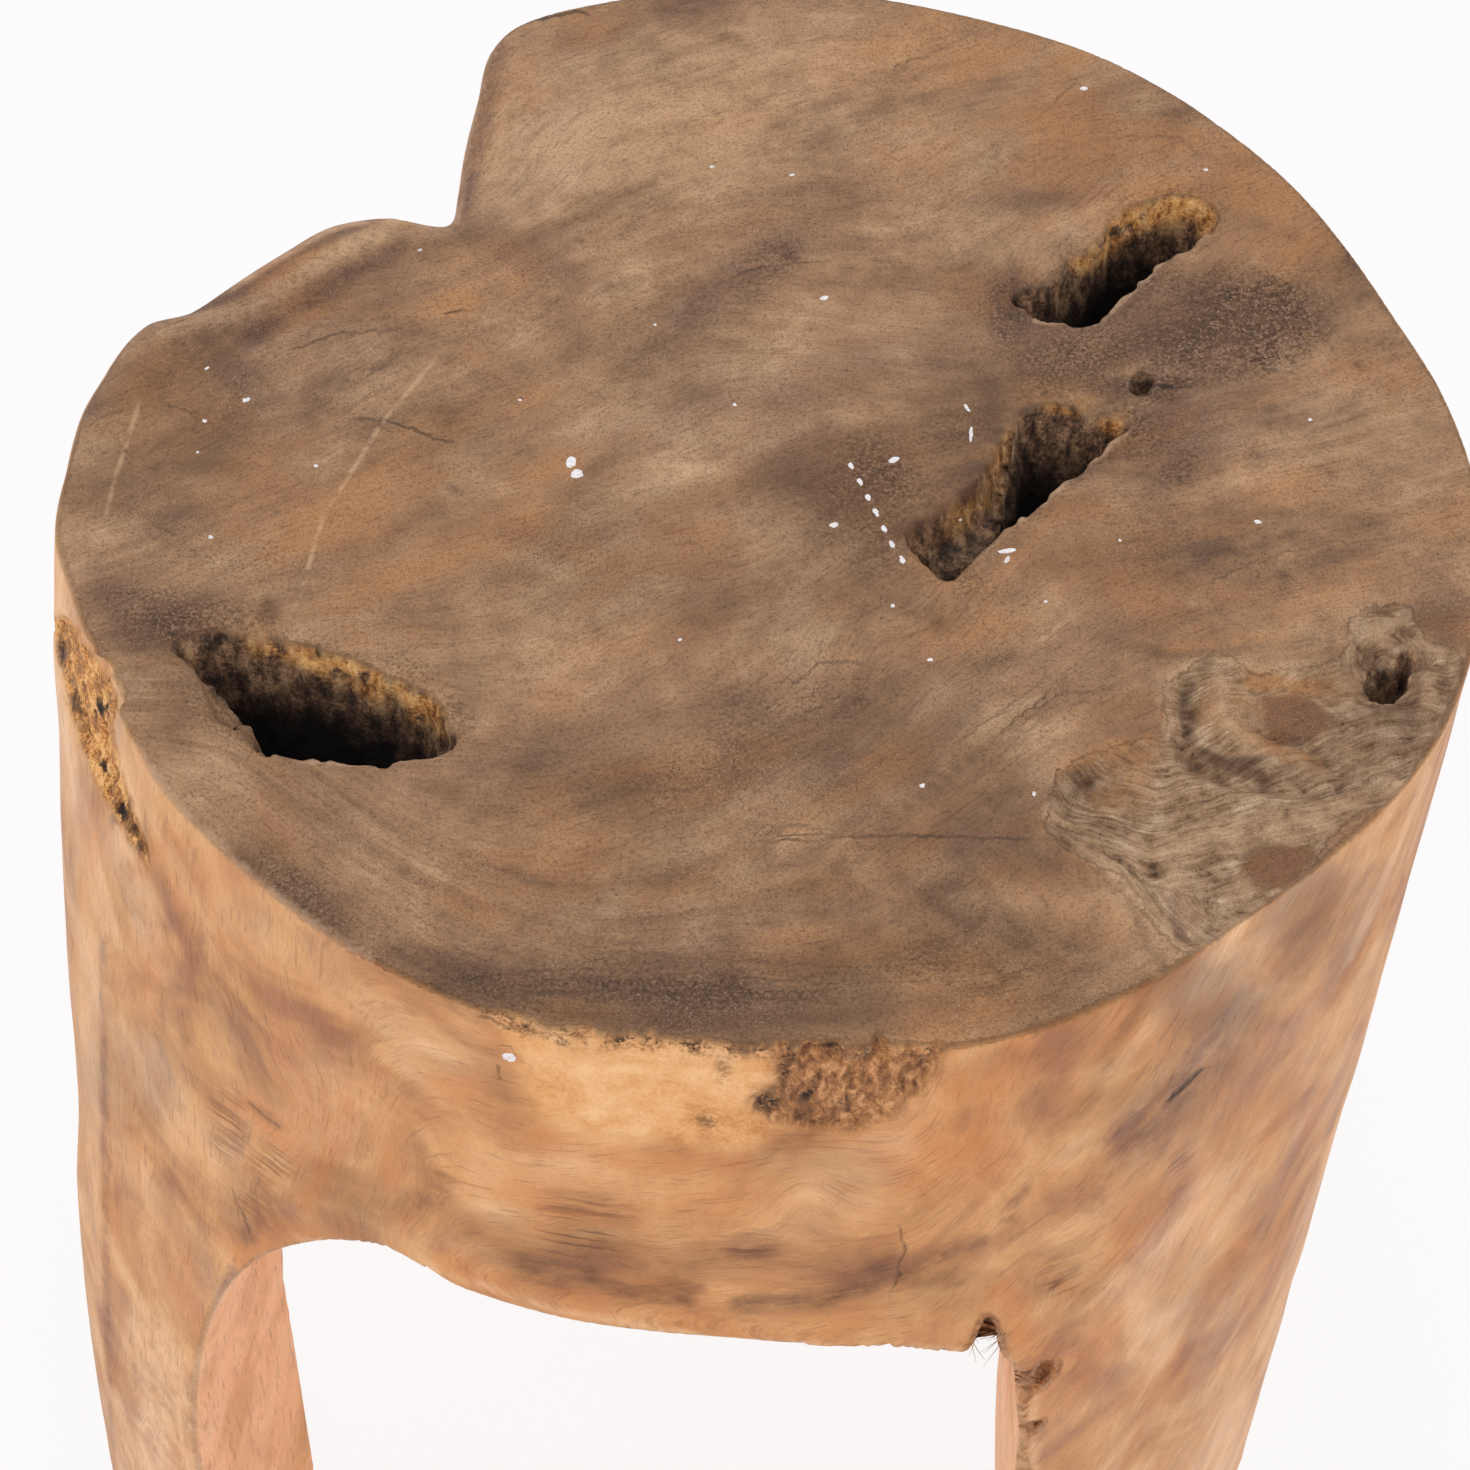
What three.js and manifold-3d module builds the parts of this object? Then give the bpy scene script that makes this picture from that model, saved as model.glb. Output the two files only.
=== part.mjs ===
// Log stool: one log, sawn flat for a seat, slotted from below into three legs, each leg shod with a
// nail-on floor glide (nail, cup and felt). Millimetres, +Z up, -Y to the front. The origin lies on the
// floor, under the middle of the whole stool.
import * as THREE from 'three';
import { mergeVertices } from 'three/addons/utils/BufferGeometryUtils.js';
import Module from 'manifold-3d';

const wasm = await Module();
wasm.setup();

// Driving dimensions of the log
const seatWidth = 395;
const stoolHeight = 450;
const seatThickness = 133;
const seatRadius = seatWidth / 2;

// Driving dimensions of a floor glide
const feltDiameter = 23;
const feltThickness = 4.5;
const feltProud = 1.5;
const cupWall = 2.2;
const cupWeb = 1.1;
const nailShankDiameter = 2.6;
const nailShankLength = 24;
const nailPointLength = 4;
const nailHeadDiameter = 8;
const nailHeadThickness = 1.2;

// Clearances: between pieces that touch, and how far a cutting solid runs past what it cuts
const fitGap = 0.3;
const overrun = 20;

// Heights that follow from the glide
const cupRim = feltProud;
const cupRecessTop = feltThickness + fitGap;
const headSeat = cupRecessTop + nailHeadThickness;
const cupTop = headSeat + fitGap + cupWeb;
const footHeight = cupTop + fitGap;
const nailTip = headSeat + nailShankLength;
const ceilingHeight = stoolHeight - seatThickness;

// How finely round shapes are faceted
const stepsPerOutlinePoint = 2;
const trunkLevels = 9;
const flareLevels = 7;
const pocketSides = 10;
const glideSides = 32;
const nailSides = 12;

// Outline of the log: bearing in degrees, then its radius at the seat, halfway down and at the foot,
// each as a share of the seat's radius. The dip from 116 to 160 degrees is the notch between two roots.
const outlineShares = [
  [0, 0.995, 0.950, 0.900],
  [9, 0.977, 0.940, 0.890],
  [17, 0.962, 0.935, 0.890],
  [27, 0.966, 0.940, 0.900],
  [38, 0.981, 0.955, 0.920],
  [49, 0.995, 0.975, 0.950],
  [60, 1.009, 1.000, 0.985],
  [72, 1.015, 1.020, 1.020],
  [84, 1.026, 1.035, 1.040],
  [94, 1.031, 1.040, 1.050],
  [104, 1.027, 1.035, 1.040],
  [112, 1.016, 1.010, 1.010],
  [116, 0.975, 0.985, 0.990],
  [120, 0.885, 0.945, 0.970],
  [125, 0.795, 0.905, 0.950],
  [130, 0.718, 0.880, 0.945],
  [134, 0.682, 0.875, 0.945],
  [138, 0.735, 0.885, 0.955],
  [143, 0.792, 0.905, 0.965],
  [150, 0.828, 0.930, 0.985],
  [157, 0.862, 0.955, 1.010],
  [160, 0.885, 0.965, 1.020],
  [163, 0.935, 0.985, 1.035],
  [171, 0.962, 1.020, 1.070],
  [180, 0.989, 1.075, 1.120],
  [188, 1.008, 1.128, 1.180],
  [195, 0.998, 1.143, 1.205],
  [204, 0.991, 1.146, 1.210],
  [215, 1.005, 1.125, 1.180],
  [226, 1.008, 1.090, 1.140],
  [238, 1.024, 1.060, 1.090],
  [252, 1.035, 1.045, 1.055],
  [265, 1.024, 1.040, 1.050],
  [275, 1.035, 1.050, 1.050],
  [286, 1.052, 1.050, 1.040],
  [298, 1.043, 1.025, 0.995],
  [309, 1.020, 0.985, 0.940],
  [320, 1.029, 0.980, 0.920],
  [330, 1.035, 0.975, 0.915],
  [342, 1.021, 0.970, 0.918],
  [350, 1.010, 0.965, 0.912],
];

// The three legs: plan corners as shares of the seat's radius, from outside the log round the inner corners
// and out again. Each edge has a flare, where the leg swells into the seat's underside: its spread and its
// height as shares of the seat's radius. The glide stands at the foot's middle.
const legs = [
  {
    name: 'front_left',
    cornerShares: [[-1.500, -2.110], [-0.785, -0.330], [-2.600, -0.345]],
    flareShares: [[0.50, 0.97], [0.30, 0.50]],
    glideShares: [-0.970, -0.455],
  },
  {
    name: 'front_right',
    cornerShares: [[2.400, -0.185], [0.418, -0.355], [0.325, -2.400]],
    flareShares: [[0.32, 0.50], [0.50, 0.16]],
    glideShares: [0.590, -0.525],
  },
  {
    name: 'rear',
    cornerShares: [[-1.040, 2.140], [-0.160, 0.560], [0.200, 0.540], [1.400, 2.060]],
    flareShares: [[0.34, 0.55], [0.20, 0.40], [0.34, 0.55]],
    glideShares: [0.050, 0.800],
  },
];

// The curve of a flare: at 1/2 it is a quarter ellipse, and above that it is fuller near the ceiling
const flarePower = 0.55;

// Natural hollows that open in the seat: outline as shares of the seat's radius, depth and the shift of
// the floor as shares of the seat's thickness, and the floor's size as a share of the mouth's. Halfway
// down, a hollow has narrowed and shifted by the halfway share of all that it does.
const halfwayShare = 0.45;
const hollows = [
  {
    outlineShares: [
      [-0.812, -0.365], [-0.774, -0.405], [-0.748, -0.450], [-0.700, -0.515], [-0.626, -0.548],
      [-0.540, -0.562], [-0.453, -0.545], [-0.420, -0.518], [-0.452, -0.440], [-0.510, -0.402],
      [-0.590, -0.362], [-0.680, -0.338], [-0.758, -0.325],
    ],
    depthShare: 0.70, shiftShares: [0.10, -0.16], floorShare: 0.55,
  },
  {
    outlineShares: [
      [0.366, 0.325], [0.410, 0.282], [0.487, 0.281], [0.540, 0.350], [0.582, 0.404], [0.626, 0.440],
      [0.668, 0.480], [0.676, 0.522], [0.636, 0.550], [0.577, 0.540], [0.505, 0.475], [0.435, 0.390],
    ],
    depthShare: 0.62, shiftShares: [-0.06, -0.10], floorShare: 0.50,
  },
  {
    outlineShares: [
      [0.250, -0.100], [0.300, -0.050], [0.330, 0.010], [0.362, 0.075], [0.420, 0.114], [0.515, 0.078],
      [0.478, 0.020], [0.424, -0.036], [0.372, -0.095], [0.320, -0.135], [0.268, -0.195], [0.235, -0.170],
    ],
    depthShare: 0.62, shiftShares: [0.04, -0.12], floorShare: 0.50,
  },
  {
    outlineShares: [
      [0.360, -0.655], [0.385, -0.580], [0.455, -0.532], [0.528, -0.512], [0.540, -0.440],
      [0.580, -0.390], [0.650, -0.385], [0.730, -0.395], [0.785, -0.365], [0.805, -0.310],
      [0.850, -0.285], [0.895, -0.330], [0.900, -0.420], [0.865, -0.520], [0.790, -0.620],
      [0.680, -0.720], [0.560, -0.830], [0.500, -0.820], [0.466, -0.760], [0.400, -0.720],
    ],
    depthShare: 0.09, shiftShares: [0.05, 0.02], floorShare: 0.72,
  },
  {
    outlineShares: [
      [0.800, -0.390], [0.815, -0.440], [0.850, -0.450], [0.878, -0.410], [0.874, -0.360], [0.830, -0.345],
    ],
    depthShare: 0.26, shiftShares: [0.0, -0.03], floorShare: 0.6,
  },
];

// Bark pockets in the log's side: bearing in degrees, height as a share of the seat's thickness above
// the ceiling, half width, half height and depth as shares of the seat's radius
const barkPockets = [
  { bearing: 205, heightShare: 0.90, widthShare: 0.018, tallShare: 0.16, depthShare: 0.030 },
  { bearing: 291, heightShare: -0.28, widthShare: 0.040, tallShare: 0.095, depthShare: 0.060 },
];

// Points of a closed curve through plan points
function smoothOutline(points, steps) {
  const curve = new THREE.CatmullRomCurve3(
    points.map(([x, y]) => new THREE.Vector3(x, y, 0)), true, 'centripetal');
  const count = points.length * steps;
  return Array.from({ length: count }, (_, i) => curve.getPoint(i / count));
}

// Closed solid through rings of equal point counts, listed from the lowest up, anticlockwise from above
function loft(rings) {
  const positions = rings.flat().flatMap((p) => [p.x, p.y, p.z]);
  const count = rings[0].length;
  const indices = [];
  for (let k = 0; k + 1 < rings.length; k += 1) {
    for (let i = 0; i < count; i += 1) {
      const j = (i + 1) % count;
      const [a, b] = [k * count + i, k * count + j];
      indices.push(a, b, b + count, a, b + count, a + count);
    }
  }
  const flat = (ring) => ring.map((p) => new THREE.Vector2(p.x, p.y));
  const last = (rings.length - 1) * count;
  for (const [a, b, c] of THREE.ShapeUtils.triangulateShape(flat(rings[0]), [])) indices.push(a, c, b);
  for (const [a, b, c] of THREE.ShapeUtils.triangulateShape(flat(rings.at(-1)), [])) {
    indices.push(last + a, last + b, last + c);
  }
  const geometry = new THREE.BufferGeometry();
  geometry.setAttribute('position', new THREE.Float32BufferAttribute(positions, 3));
  geometry.setIndex(indices);
  return geometry;
}

// three.js geometry to a solid that can be cut, and back
function toSolid(geometry) {
  geometry.deleteAttribute('normal');
  geometry.deleteAttribute('uv');
  const merged = mergeVertices(geometry);
  return new wasm.Manifold(new wasm.Mesh({
    numProp: 3,
    vertProperties: new Float32Array(merged.attributes.position.array),
    triVerts: new Uint32Array(merged.index.array),
  }));
}

function toGeometry(solid) {
  const mesh = solid.getMesh();
  const geometry = new THREE.BufferGeometry();
  geometry.setAttribute('position', new THREE.Float32BufferAttribute(mesh.vertProperties, 3));
  geometry.setIndex(new THREE.Uint32BufferAttribute(mesh.triVerts, 1));
  geometry.computeVertexNormals();
  return geometry;
}

// Radius of the log on one outline row at a depth share from 0 at the seat to 1 at the floor
function rowRadius([, seatShare, middleShare, footShare], depth) {
  const bend = 2 * (seatShare + footShare - 2 * middleShare);
  const slope = footShare - seatShare - bend;
  return seatRadius * (seatShare + slope * depth + bend * depth * depth);
}

// The whole log before it is slotted, standing on the glides
function trunk() {
  const rings = [];
  for (let k = 0; k <= trunkLevels; k += 1) {
    const z = footHeight + (stoolHeight - footHeight) * (k / trunkLevels);
    const depth = (stoolHeight - z) / stoolHeight;
    const points = outlineShares.map((row) => {
      const angle = THREE.MathUtils.degToRad(row[0]);
      const radius = rowRadius(row, depth);
      return [radius * Math.cos(angle), radius * Math.sin(angle)];
    });
    rings.push(smoothOutline(points, stepsPerOutlinePoint).map((p) => new THREE.Vector3(p.x, p.y, z)));
  }
  return toSolid(loft(rings));
}

// Direction from one plan point to the next, and the direction to the right of it
const heading = (from, to) => to.clone().sub(from).normalize();
const rightOf = (direction) => new THREE.Vector2(direction.y, -direction.x);

// End of an open outline after its only edge has moved out by an offset
function movedEnd(end, edge, offset) {
  return end.clone().addScaledVector(rightOf(edge), offset);
}

// Corner where two edges meet after each has moved out by its own offset
function movedCorner(before, corner, after, offsetBefore, offsetAfter) {
  const inward = heading(before, corner);
  const outward = heading(corner, after);
  const start = movedEnd(corner, inward, offsetBefore);
  const goal = movedEnd(corner, outward, offsetAfter);
  const reach = goal.sub(start).dot(rightOf(outward)) / inward.dot(rightOf(outward));
  return start.addScaledVector(inward, reach);
}

// Plan outline with each edge moved out by its own offset
function movedOutline(corners, offsets) {
  const last = corners.length - 1;
  return corners.map((corner, i) => {
    if (i === 0) return movedEnd(corner, heading(corner, corners[1]), offsets[0]);
    if (i === last) return movedEnd(corner, heading(corners[last - 1], corner), offsets[last - 1]);
    return movedCorner(corners[i - 1], corner, corners[i + 1], offsets[i - 1], offsets[i]);
  });
}

// How far a leg's edge has swollen out at a height
function flareOffset([spreadShare, heightShare], z) {
  const height = heightShare * seatRadius;
  const rise = THREE.MathUtils.clamp((z - (ceilingHeight - height)) / height, 0, 1);
  return spreadShare * seatRadius * (1 - (1 - rise * rise) ** flarePower);
}

// What a leg keeps of the log: a prism in plan that swells towards the ceiling
function legKeep({ cornerShares, flareShares }) {
  const corners = cornerShares.map(([x, y]) => new THREE.Vector2(x, y).multiplyScalar(seatRadius));
  const tallest = Math.max(...flareShares.map(([, heightShare]) => heightShare)) * seatRadius;
  const heights = [Math.min(footHeight, ceilingHeight - tallest) - overrun];
  for (let k = 0; k <= flareLevels; k += 1) {
    const rise = Math.sin((Math.PI / 2) * (k / flareLevels));
    heights.push(ceilingHeight - tallest * (1 - rise));
  }
  heights.push(ceilingHeight + overrun);
  const rings = heights.map((z) => {
    const offsets = flareShares.map((flare) => flareOffset(flare, z));
    return movedOutline(corners, offsets).map((p) => new THREE.Vector3(p.x, p.y, z));
  });
  if (THREE.ShapeUtils.area(corners) < 0) rings.forEach((ring) => ring.reverse());
  return toSolid(loft(rings));
}

// Everything sawn away below the seat: a slab up to the ceiling, less what the legs keep
function underSeatCut() {
  const reach = seatWidth + overrun;
  const height = ceilingHeight - (footHeight - overrun / 2);
  const slab = new THREE.BoxGeometry(2 * reach, 2 * reach, height);
  slab.translate(0, 0, ceilingHeight - height / 2);
  return legs.reduce((cut, leg) => cut.subtract(legKeep(leg)), toSolid(slab));
}

// A natural hollow: its mouth runs past the seat, its floor is smaller and shifted
function hollowCut({ outlineShares: mouthShares, depthShare, shiftShares, floorShare }) {
  const mouth = mouthShares.map(([x, y]) => new THREE.Vector2(x, y).multiplyScalar(seatRadius));
  const middle = mouth.reduce((sum, p) => sum.add(p), new THREE.Vector2()).divideScalar(mouth.length);
  const shift = new THREE.Vector2(...shiftShares).multiplyScalar(seatThickness);
  const ring = (share, depth) => mouth.map((p) => {
    const q = middle.clone().lerp(p, THREE.MathUtils.lerp(1, floorShare, share));
    return new THREE.Vector3(q.x + shift.x * share, q.y + shift.y * share, stoolHeight - depth);
  });
  const depth = depthShare * seatThickness;
  const rings = [ring(1, depth), ring(halfwayShare, depth / 2), ring(0, 0), ring(0, -overrun)];
  if (THREE.ShapeUtils.area(mouth) < 0) rings.forEach((points) => points.reverse());
  return toSolid(loft(rings));
}

// A bark pocket: a pointed oval pressed into the side
function barkPocketCut({ bearing, heightShare, widthShare, tallShare, depthShare }) {
  const angle = THREE.MathUtils.degToRad(bearing);
  const z = ceilingHeight + heightShare * seatThickness;
  const away = (row) => Math.abs(row[0] - bearing);
  const nearest = outlineShares.reduce((best, row) => (away(row) < away(best) ? row : best));
  const face = rowRadius(nearest, (stoolHeight - z) / stoolHeight);
  const depth = depthShare * seatRadius;
  const oval = new THREE.SphereGeometry(1, pocketSides, pocketSides);
  oval.scale(2 * depth, widthShare * seatRadius, tallShare * seatRadius);
  oval.translate(face + depth, 0, z);
  oval.rotateZ(angle);
  return toSolid(oval);
}

// Place in plan of a leg's glide
function glidePlace({ glideShares }) {
  return glideShares.map((share) => share * seatRadius);
}

// The hole that a leg's nail is driven into
function nailHoleCut(leg) {
  const radius = nailShankDiameter / 2 + fitGap;
  const bottom = footHeight - overrun / 2;
  const height = nailTip + fitGap - bottom;
  const hole = new THREE.CylinderGeometry(radius, radius, height, nailSides);
  hole.rotateX(Math.PI / 2);
  const [x, y] = glidePlace(leg);
  hole.translate(x, y, bottom + height / 2);
  return toSolid(hole);
}

function carvedLog() {
  const cuts = [
    underSeatCut(),
    ...hollows.map(hollowCut),
    ...barkPockets.map(barkPocketCut),
    ...legs.map(nailHoleCut),
  ];
  return toGeometry(cuts.reduce((log, cut) => log.subtract(cut), trunk()));
}

// Profile of radius and height turned about the glide's own upright axis
function turned(profile, sides) {
  const points = profile.map(([radius, z]) => new THREE.Vector2(radius, z));
  const lathe = new THREE.LatheGeometry(points, sides);
  lathe.rotateX(Math.PI / 2);
  return toGeometry(toSolid(lathe));
}

// The nail: its head lies in the cup, its shank stands up into the leg
function nailShape() {
  const shank = nailShankDiameter / 2;
  const head = nailHeadDiameter / 2;
  return turned([
    [0, cupRecessTop], [head, cupRecessTop], [head, headSeat], [shank, headSeat],
    [shank, nailTip - nailPointLength], [0, nailTip],
  ], nailSides);
}

// The cup: a web that the nail holds, and a rim round the felt with its outer edge eased by half the wall
function cupShape() {
  const recess = feltDiameter / 2 + fitGap;
  const outer = recess + cupWall;
  const bore = nailShankDiameter / 2 + fitGap;
  const counterbore = nailHeadDiameter / 2 + fitGap;
  const easing = cupWall / 2;
  return turned([
    [bore, headSeat + fitGap], [counterbore, headSeat + fitGap], [counterbore, cupRecessTop],
    [recess, cupRecessTop], [recess, cupRim], [outer - easing, cupRim], [outer, cupRim + easing],
    [outer, cupTop], [bore, cupTop], [bore, headSeat + fitGap],
  ], glideSides);
}

// The felt: a plain disc that stands proud of the cup's rim
function feltShape() {
  const radius = feltDiameter / 2;
  return turned([[0, 0], [radius, 0], [radius, feltThickness], [0, feltThickness]], glideSides);
}

// Finishes
const oiledHardwood = new THREE.MeshStandardMaterial({ color: 0x9a7250, roughness: 0.62, metalness: 0 });
const nailSteel = new THREE.MeshStandardMaterial({ color: 0xb9bbbd, roughness: 0.35, metalness: 1 });
const glideNylon = new THREE.MeshStandardMaterial({ color: 0x4a3423, roughness: 0.45, metalness: 0 });
const glideFelt = new THREE.MeshStandardMaterial({ color: 0x6b4a33, roughness: 0.95, metalness: 0 });

const group = new THREE.Group();

function addPiece(name, geometry, material, x = 0, y = 0) {
  const piece = new THREE.Mesh(geometry, material.clone());
  piece.name = name;
  piece.position.set(x, y, 0);
  group.add(piece);
}

addPiece('carved_log', carvedLog(), oiledHardwood);
for (const leg of legs) {
  const [x, y] = glidePlace(leg);
  addPiece(`glide_nail_${leg.name}`, nailShape(), nailSteel, x, y);
  addPiece(`glide_cup_${leg.name}`, cupShape(), glideNylon, x, y);
  addPiece(`glide_felt_${leg.name}`, feltShape(), glideFelt, x, y);
}

// The origin lies on the floor, under the middle of the whole part
const middle = new THREE.Box3().setFromObject(group).getCenter(new THREE.Vector3());
group.position.set(-middle.x, -middle.y, 0);

export default group;
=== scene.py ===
"""Finish of a stool carved from one log: its worn seat, natural hollows, legs and floor glides."""
import math

import bmesh
import bpy
import numpy as np
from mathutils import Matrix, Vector
from mathutils.bvhtree import BVHTree


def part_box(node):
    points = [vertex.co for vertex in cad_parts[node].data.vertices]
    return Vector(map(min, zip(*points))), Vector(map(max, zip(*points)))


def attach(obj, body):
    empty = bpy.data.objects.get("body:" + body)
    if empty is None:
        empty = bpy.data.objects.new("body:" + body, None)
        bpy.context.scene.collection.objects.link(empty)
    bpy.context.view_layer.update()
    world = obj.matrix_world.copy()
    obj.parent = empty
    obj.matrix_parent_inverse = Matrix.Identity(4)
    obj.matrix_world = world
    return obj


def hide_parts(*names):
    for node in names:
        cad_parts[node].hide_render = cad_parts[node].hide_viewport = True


bl_info = {
    "name": "Log Stool",
    "version": (1, 0, 0),
    "blender": (4, 5, 0),
    "location": "View3D > Sidebar > Log Stool",
    "description": "Carves the fine surface of a log stool and gives it its finishes",
    "category": "Object",
}

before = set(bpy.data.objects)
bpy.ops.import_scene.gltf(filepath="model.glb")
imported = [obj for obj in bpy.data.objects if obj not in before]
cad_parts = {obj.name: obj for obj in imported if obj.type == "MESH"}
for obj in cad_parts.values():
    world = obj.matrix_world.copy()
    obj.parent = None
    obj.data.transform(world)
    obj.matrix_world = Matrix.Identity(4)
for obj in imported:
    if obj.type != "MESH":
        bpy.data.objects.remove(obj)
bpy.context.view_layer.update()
MM = 0.001
LEGS = ("front_left", "front_right", "rear")

# Driving sizes in millimetres, in plan about the middle of the seat
SEAT_WIDTH = 395.0
SEAT_RADIUS = SEAT_WIDTH / 2
SEAT_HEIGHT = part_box("carved_log")[1][2] / MM
SEAT_THICKNESS = 133.0
CEILING = SEAT_HEIGHT - SEAT_THICKNESS
FOOT_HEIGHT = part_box("carved_log")[0][2] / MM

# Most triangles that the log may have
MOST_TRIANGLES = 199000

# Length of one degree along the seat's edge, and about the size of one pixel of the photograph on the
# log, at the front arch's corner and on the flecks, in millimetres
ARC = math.pi / 180 * SEAT_RADIUS
PIXEL = 0.3
CORNER_PIXEL = 0.28
FLECK_PIXEL = 0.29

# Forms that come and go round the log: bearings in degrees where each starts, is full, fades and ends
LOBE = (130, 142, 170, 182)
LOBE_LIP = (134, 139, 172, 183)
LOBE_ROLL = (137, 146, 172, 183)
NOTCH = (112, 120, 139, 146)
WAIST = (180, 190, 212, 222)
CRUMBLED_RIM = (249, 254, 276, 284)
APRON = (228, 250, 278, 294)
RIGHT_SIDE = (276, 294, 335, 354)

# Depth of the waist, and heights where it starts, is full, fades and ends
WAIST_DEPTH = 2.2
WAIST_HEIGHTS = (180, 240, 370, 412)

# How far the lobe's lip stands out, heights where it starts and is full, and how much farther it stands
# out at its nose, at this bearing
LIP_REACH = 4.2
LIP_HEIGHTS = (405, 440)
NOSE_REACH = 2.0
NOSE_BEARING = 140

# Bearings in degrees between which the side shows in the photograph, and those of its seam and patches,
# which reach down to these heights
FRONT_BEARINGS = (186, 350)
SEAM_BEARINGS = (186, 222)
SEAM_LOWEST = 370
PATCH_BEARINGS = (244, 292)
PATCH_LOWEST = 380

# Where the middle of the seat lies in the part's own frame, in millimetres
SEAT_MIDDLE = np.array([15.7525, -0.5385, 0.0])

# The photograph's camera: place in millimetres about the seat, angle below the horizon, lens and film
CAMERA_PLACE = np.array([-9.25, -794.83, 1276.16])
CAMERA_ANGLE = math.radians(50)
LENS = 100.0
FILM = 36.0
PHOTO_SIZE = 1470

# Outline of the log: bearing in degrees, then its radius at the seat, halfway down and at the foot,
# each as a share of the seat's radius
OUTLINE_SHARES = np.array([
    (0, 0.995, 0.950, 0.900), (9, 0.977, 0.940, 0.890), (17, 0.962, 0.935, 0.890),
    (27, 0.966, 0.940, 0.900), (38, 0.981, 0.955, 0.920), (49, 0.995, 0.975, 0.950),
    (60, 1.009, 1.000, 0.985), (72, 1.015, 1.020, 1.020), (84, 1.026, 1.035, 1.040),
    (94, 1.031, 1.040, 1.050), (104, 1.027, 1.035, 1.040), (112, 1.016, 1.010, 1.010),
    (116, 0.975, 0.985, 0.990), (120, 0.885, 0.945, 0.970), (125, 0.795, 0.905, 0.950),
    (130, 0.718, 0.880, 0.945), (134, 0.682, 0.875, 0.945), (138, 0.735, 0.885, 0.955),
    (143, 0.792, 0.905, 0.965), (150, 0.828, 0.930, 0.985), (157, 0.862, 0.955, 1.010),
    (160, 0.885, 0.965, 1.020), (163, 0.935, 0.985, 1.035), (171, 0.962, 1.020, 1.070),
    (180, 0.989, 1.075, 1.120), (188, 1.008, 1.128, 1.180), (195, 0.998, 1.143, 1.205),
    (204, 0.991, 1.146, 1.210), (215, 1.005, 1.125, 1.180), (226, 1.008, 1.090, 1.140),
    (238, 1.024, 1.060, 1.090), (252, 1.035, 1.045, 1.055), (265, 1.024, 1.040, 1.050),
    (275, 1.035, 1.050, 1.050), (286, 1.052, 1.050, 1.040), (298, 1.043, 1.025, 0.995),
    (309, 1.020, 0.985, 0.940), (320, 1.029, 0.980, 0.920), (330, 1.035, 0.975, 0.915),
    (342, 1.021, 0.970, 0.918), (350, 1.010, 0.965, 0.912),
])

# The legs: plan corners from outside the log round the inner corners and out again, and the spread and
# height of each edge's flare under the seat, all as shares of the seat's radius
LEG_SHARES = (
    (((-1.400, -2.150), (-0.785, -0.330), (-2.600, -0.345)), ((0.50, 0.97), (0.30, 0.50))),
    (((2.400, -0.185), (0.418, -0.355), (0.325, -2.400)), ((0.32, 0.50), (0.50, 0.16))),
    (((-1.040, 2.140), (-0.160, 0.560), (0.200, 0.540), (1.400, 2.060)),
     ((0.34, 0.55), (0.20, 0.40), (0.34, 0.55))),
)

# Power of the flares' curve, where 0.5 makes an ellipse, and rounding between a leg's faces and under it
FLARE_POWER = 0.55
LEG_ROUNDING = 9
FOOT_ROUNDING = 4

# How far the front arch hangs below the rest of the ceiling, and where along Y that starts and is full
ARCH_DROP = 3.2
ARCH_FRONT = (-90, -150)

# How far the arch rises at its left end, and where along X that starts and is full
ARCH_RISE = 9.0
ARCH_LEFT_END = (-84, -108)

# How far the arch rises at its crest, and the crest's middle and reach along X
CREST_RISE = 1.2
CREST_PLACE = (31, 16)

# How the right leg's inner face leans, by height and shift, and the share of its flare that is left
LEG_LEAN = ((0, -1.3), (13, -0.4), (36, 1.2), (58, 2.7), (90, 3.6), (150, 3.6), (240, 4.2), (285, 8.5),
            (305, 8.0))
CORNER_FLARE = 0.62

# Outlines seen on the seat, in pixels of the photograph
LEFT_HOLE = ((172, 641), (209, 628), (250, 634), (317, 645), (365, 664), (413, 684), (440, 704), (455, 736),
             (436, 751), (400, 757), (368, 762), (301, 755), (262, 742), (245, 712), (226, 690), (200, 662))
LEFT_LEDGE = ((188, 655), (226, 686), (244, 708), (262, 742), (266, 750), (240, 732), (214, 712),
              (205, 694), (196, 672))
UPPER_HOLE = ((1015, 298), (1040, 318), (1068, 320), (1098, 319), (1115, 303), (1135, 283), (1160, 260),
              (1185, 245), (1210, 228), (1218, 212), (1205, 197), (1180, 192), (1150, 197), (1118, 212),
              (1102, 232), (1080, 250), (1050, 275), (1022, 288))
LOWER_HOLE = ((1012, 432), (1022, 408), (1045, 400), (1085, 408), (1128, 420), (1105, 447), (1070, 475),
              (1035, 505), (1000, 527), (978, 545), (955, 553), (938, 545), (955, 528), (984, 505),
              (1000, 470))
LOWER_SLOPE = ((905, 528), (950, 498), (985, 468), (1012, 425), (1010, 470), (1000, 525), (975, 552),
               (950, 578), (930, 565))
POCKET = ((1045, 815), (1060, 770), (1110, 745), (1163, 735), (1165, 690), (1195, 662), (1230, 658),
          (1260, 672), (1305, 665), (1340, 655), (1350, 620), (1380, 603), (1410, 610), (1430, 640),
          (1460, 652), (1452, 700), (1425, 750), (1400, 795), (1345, 822), (1300, 880), (1240, 925),
          (1185, 952), (1150, 920), (1128, 880), (1080, 858), (1045, 828))
KNOT_HOLE = ((1366, 655), (1390, 648), (1414, 640), (1418, 655), (1408, 680), (1392, 696), (1374, 690),
             (1364, 672))
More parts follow.
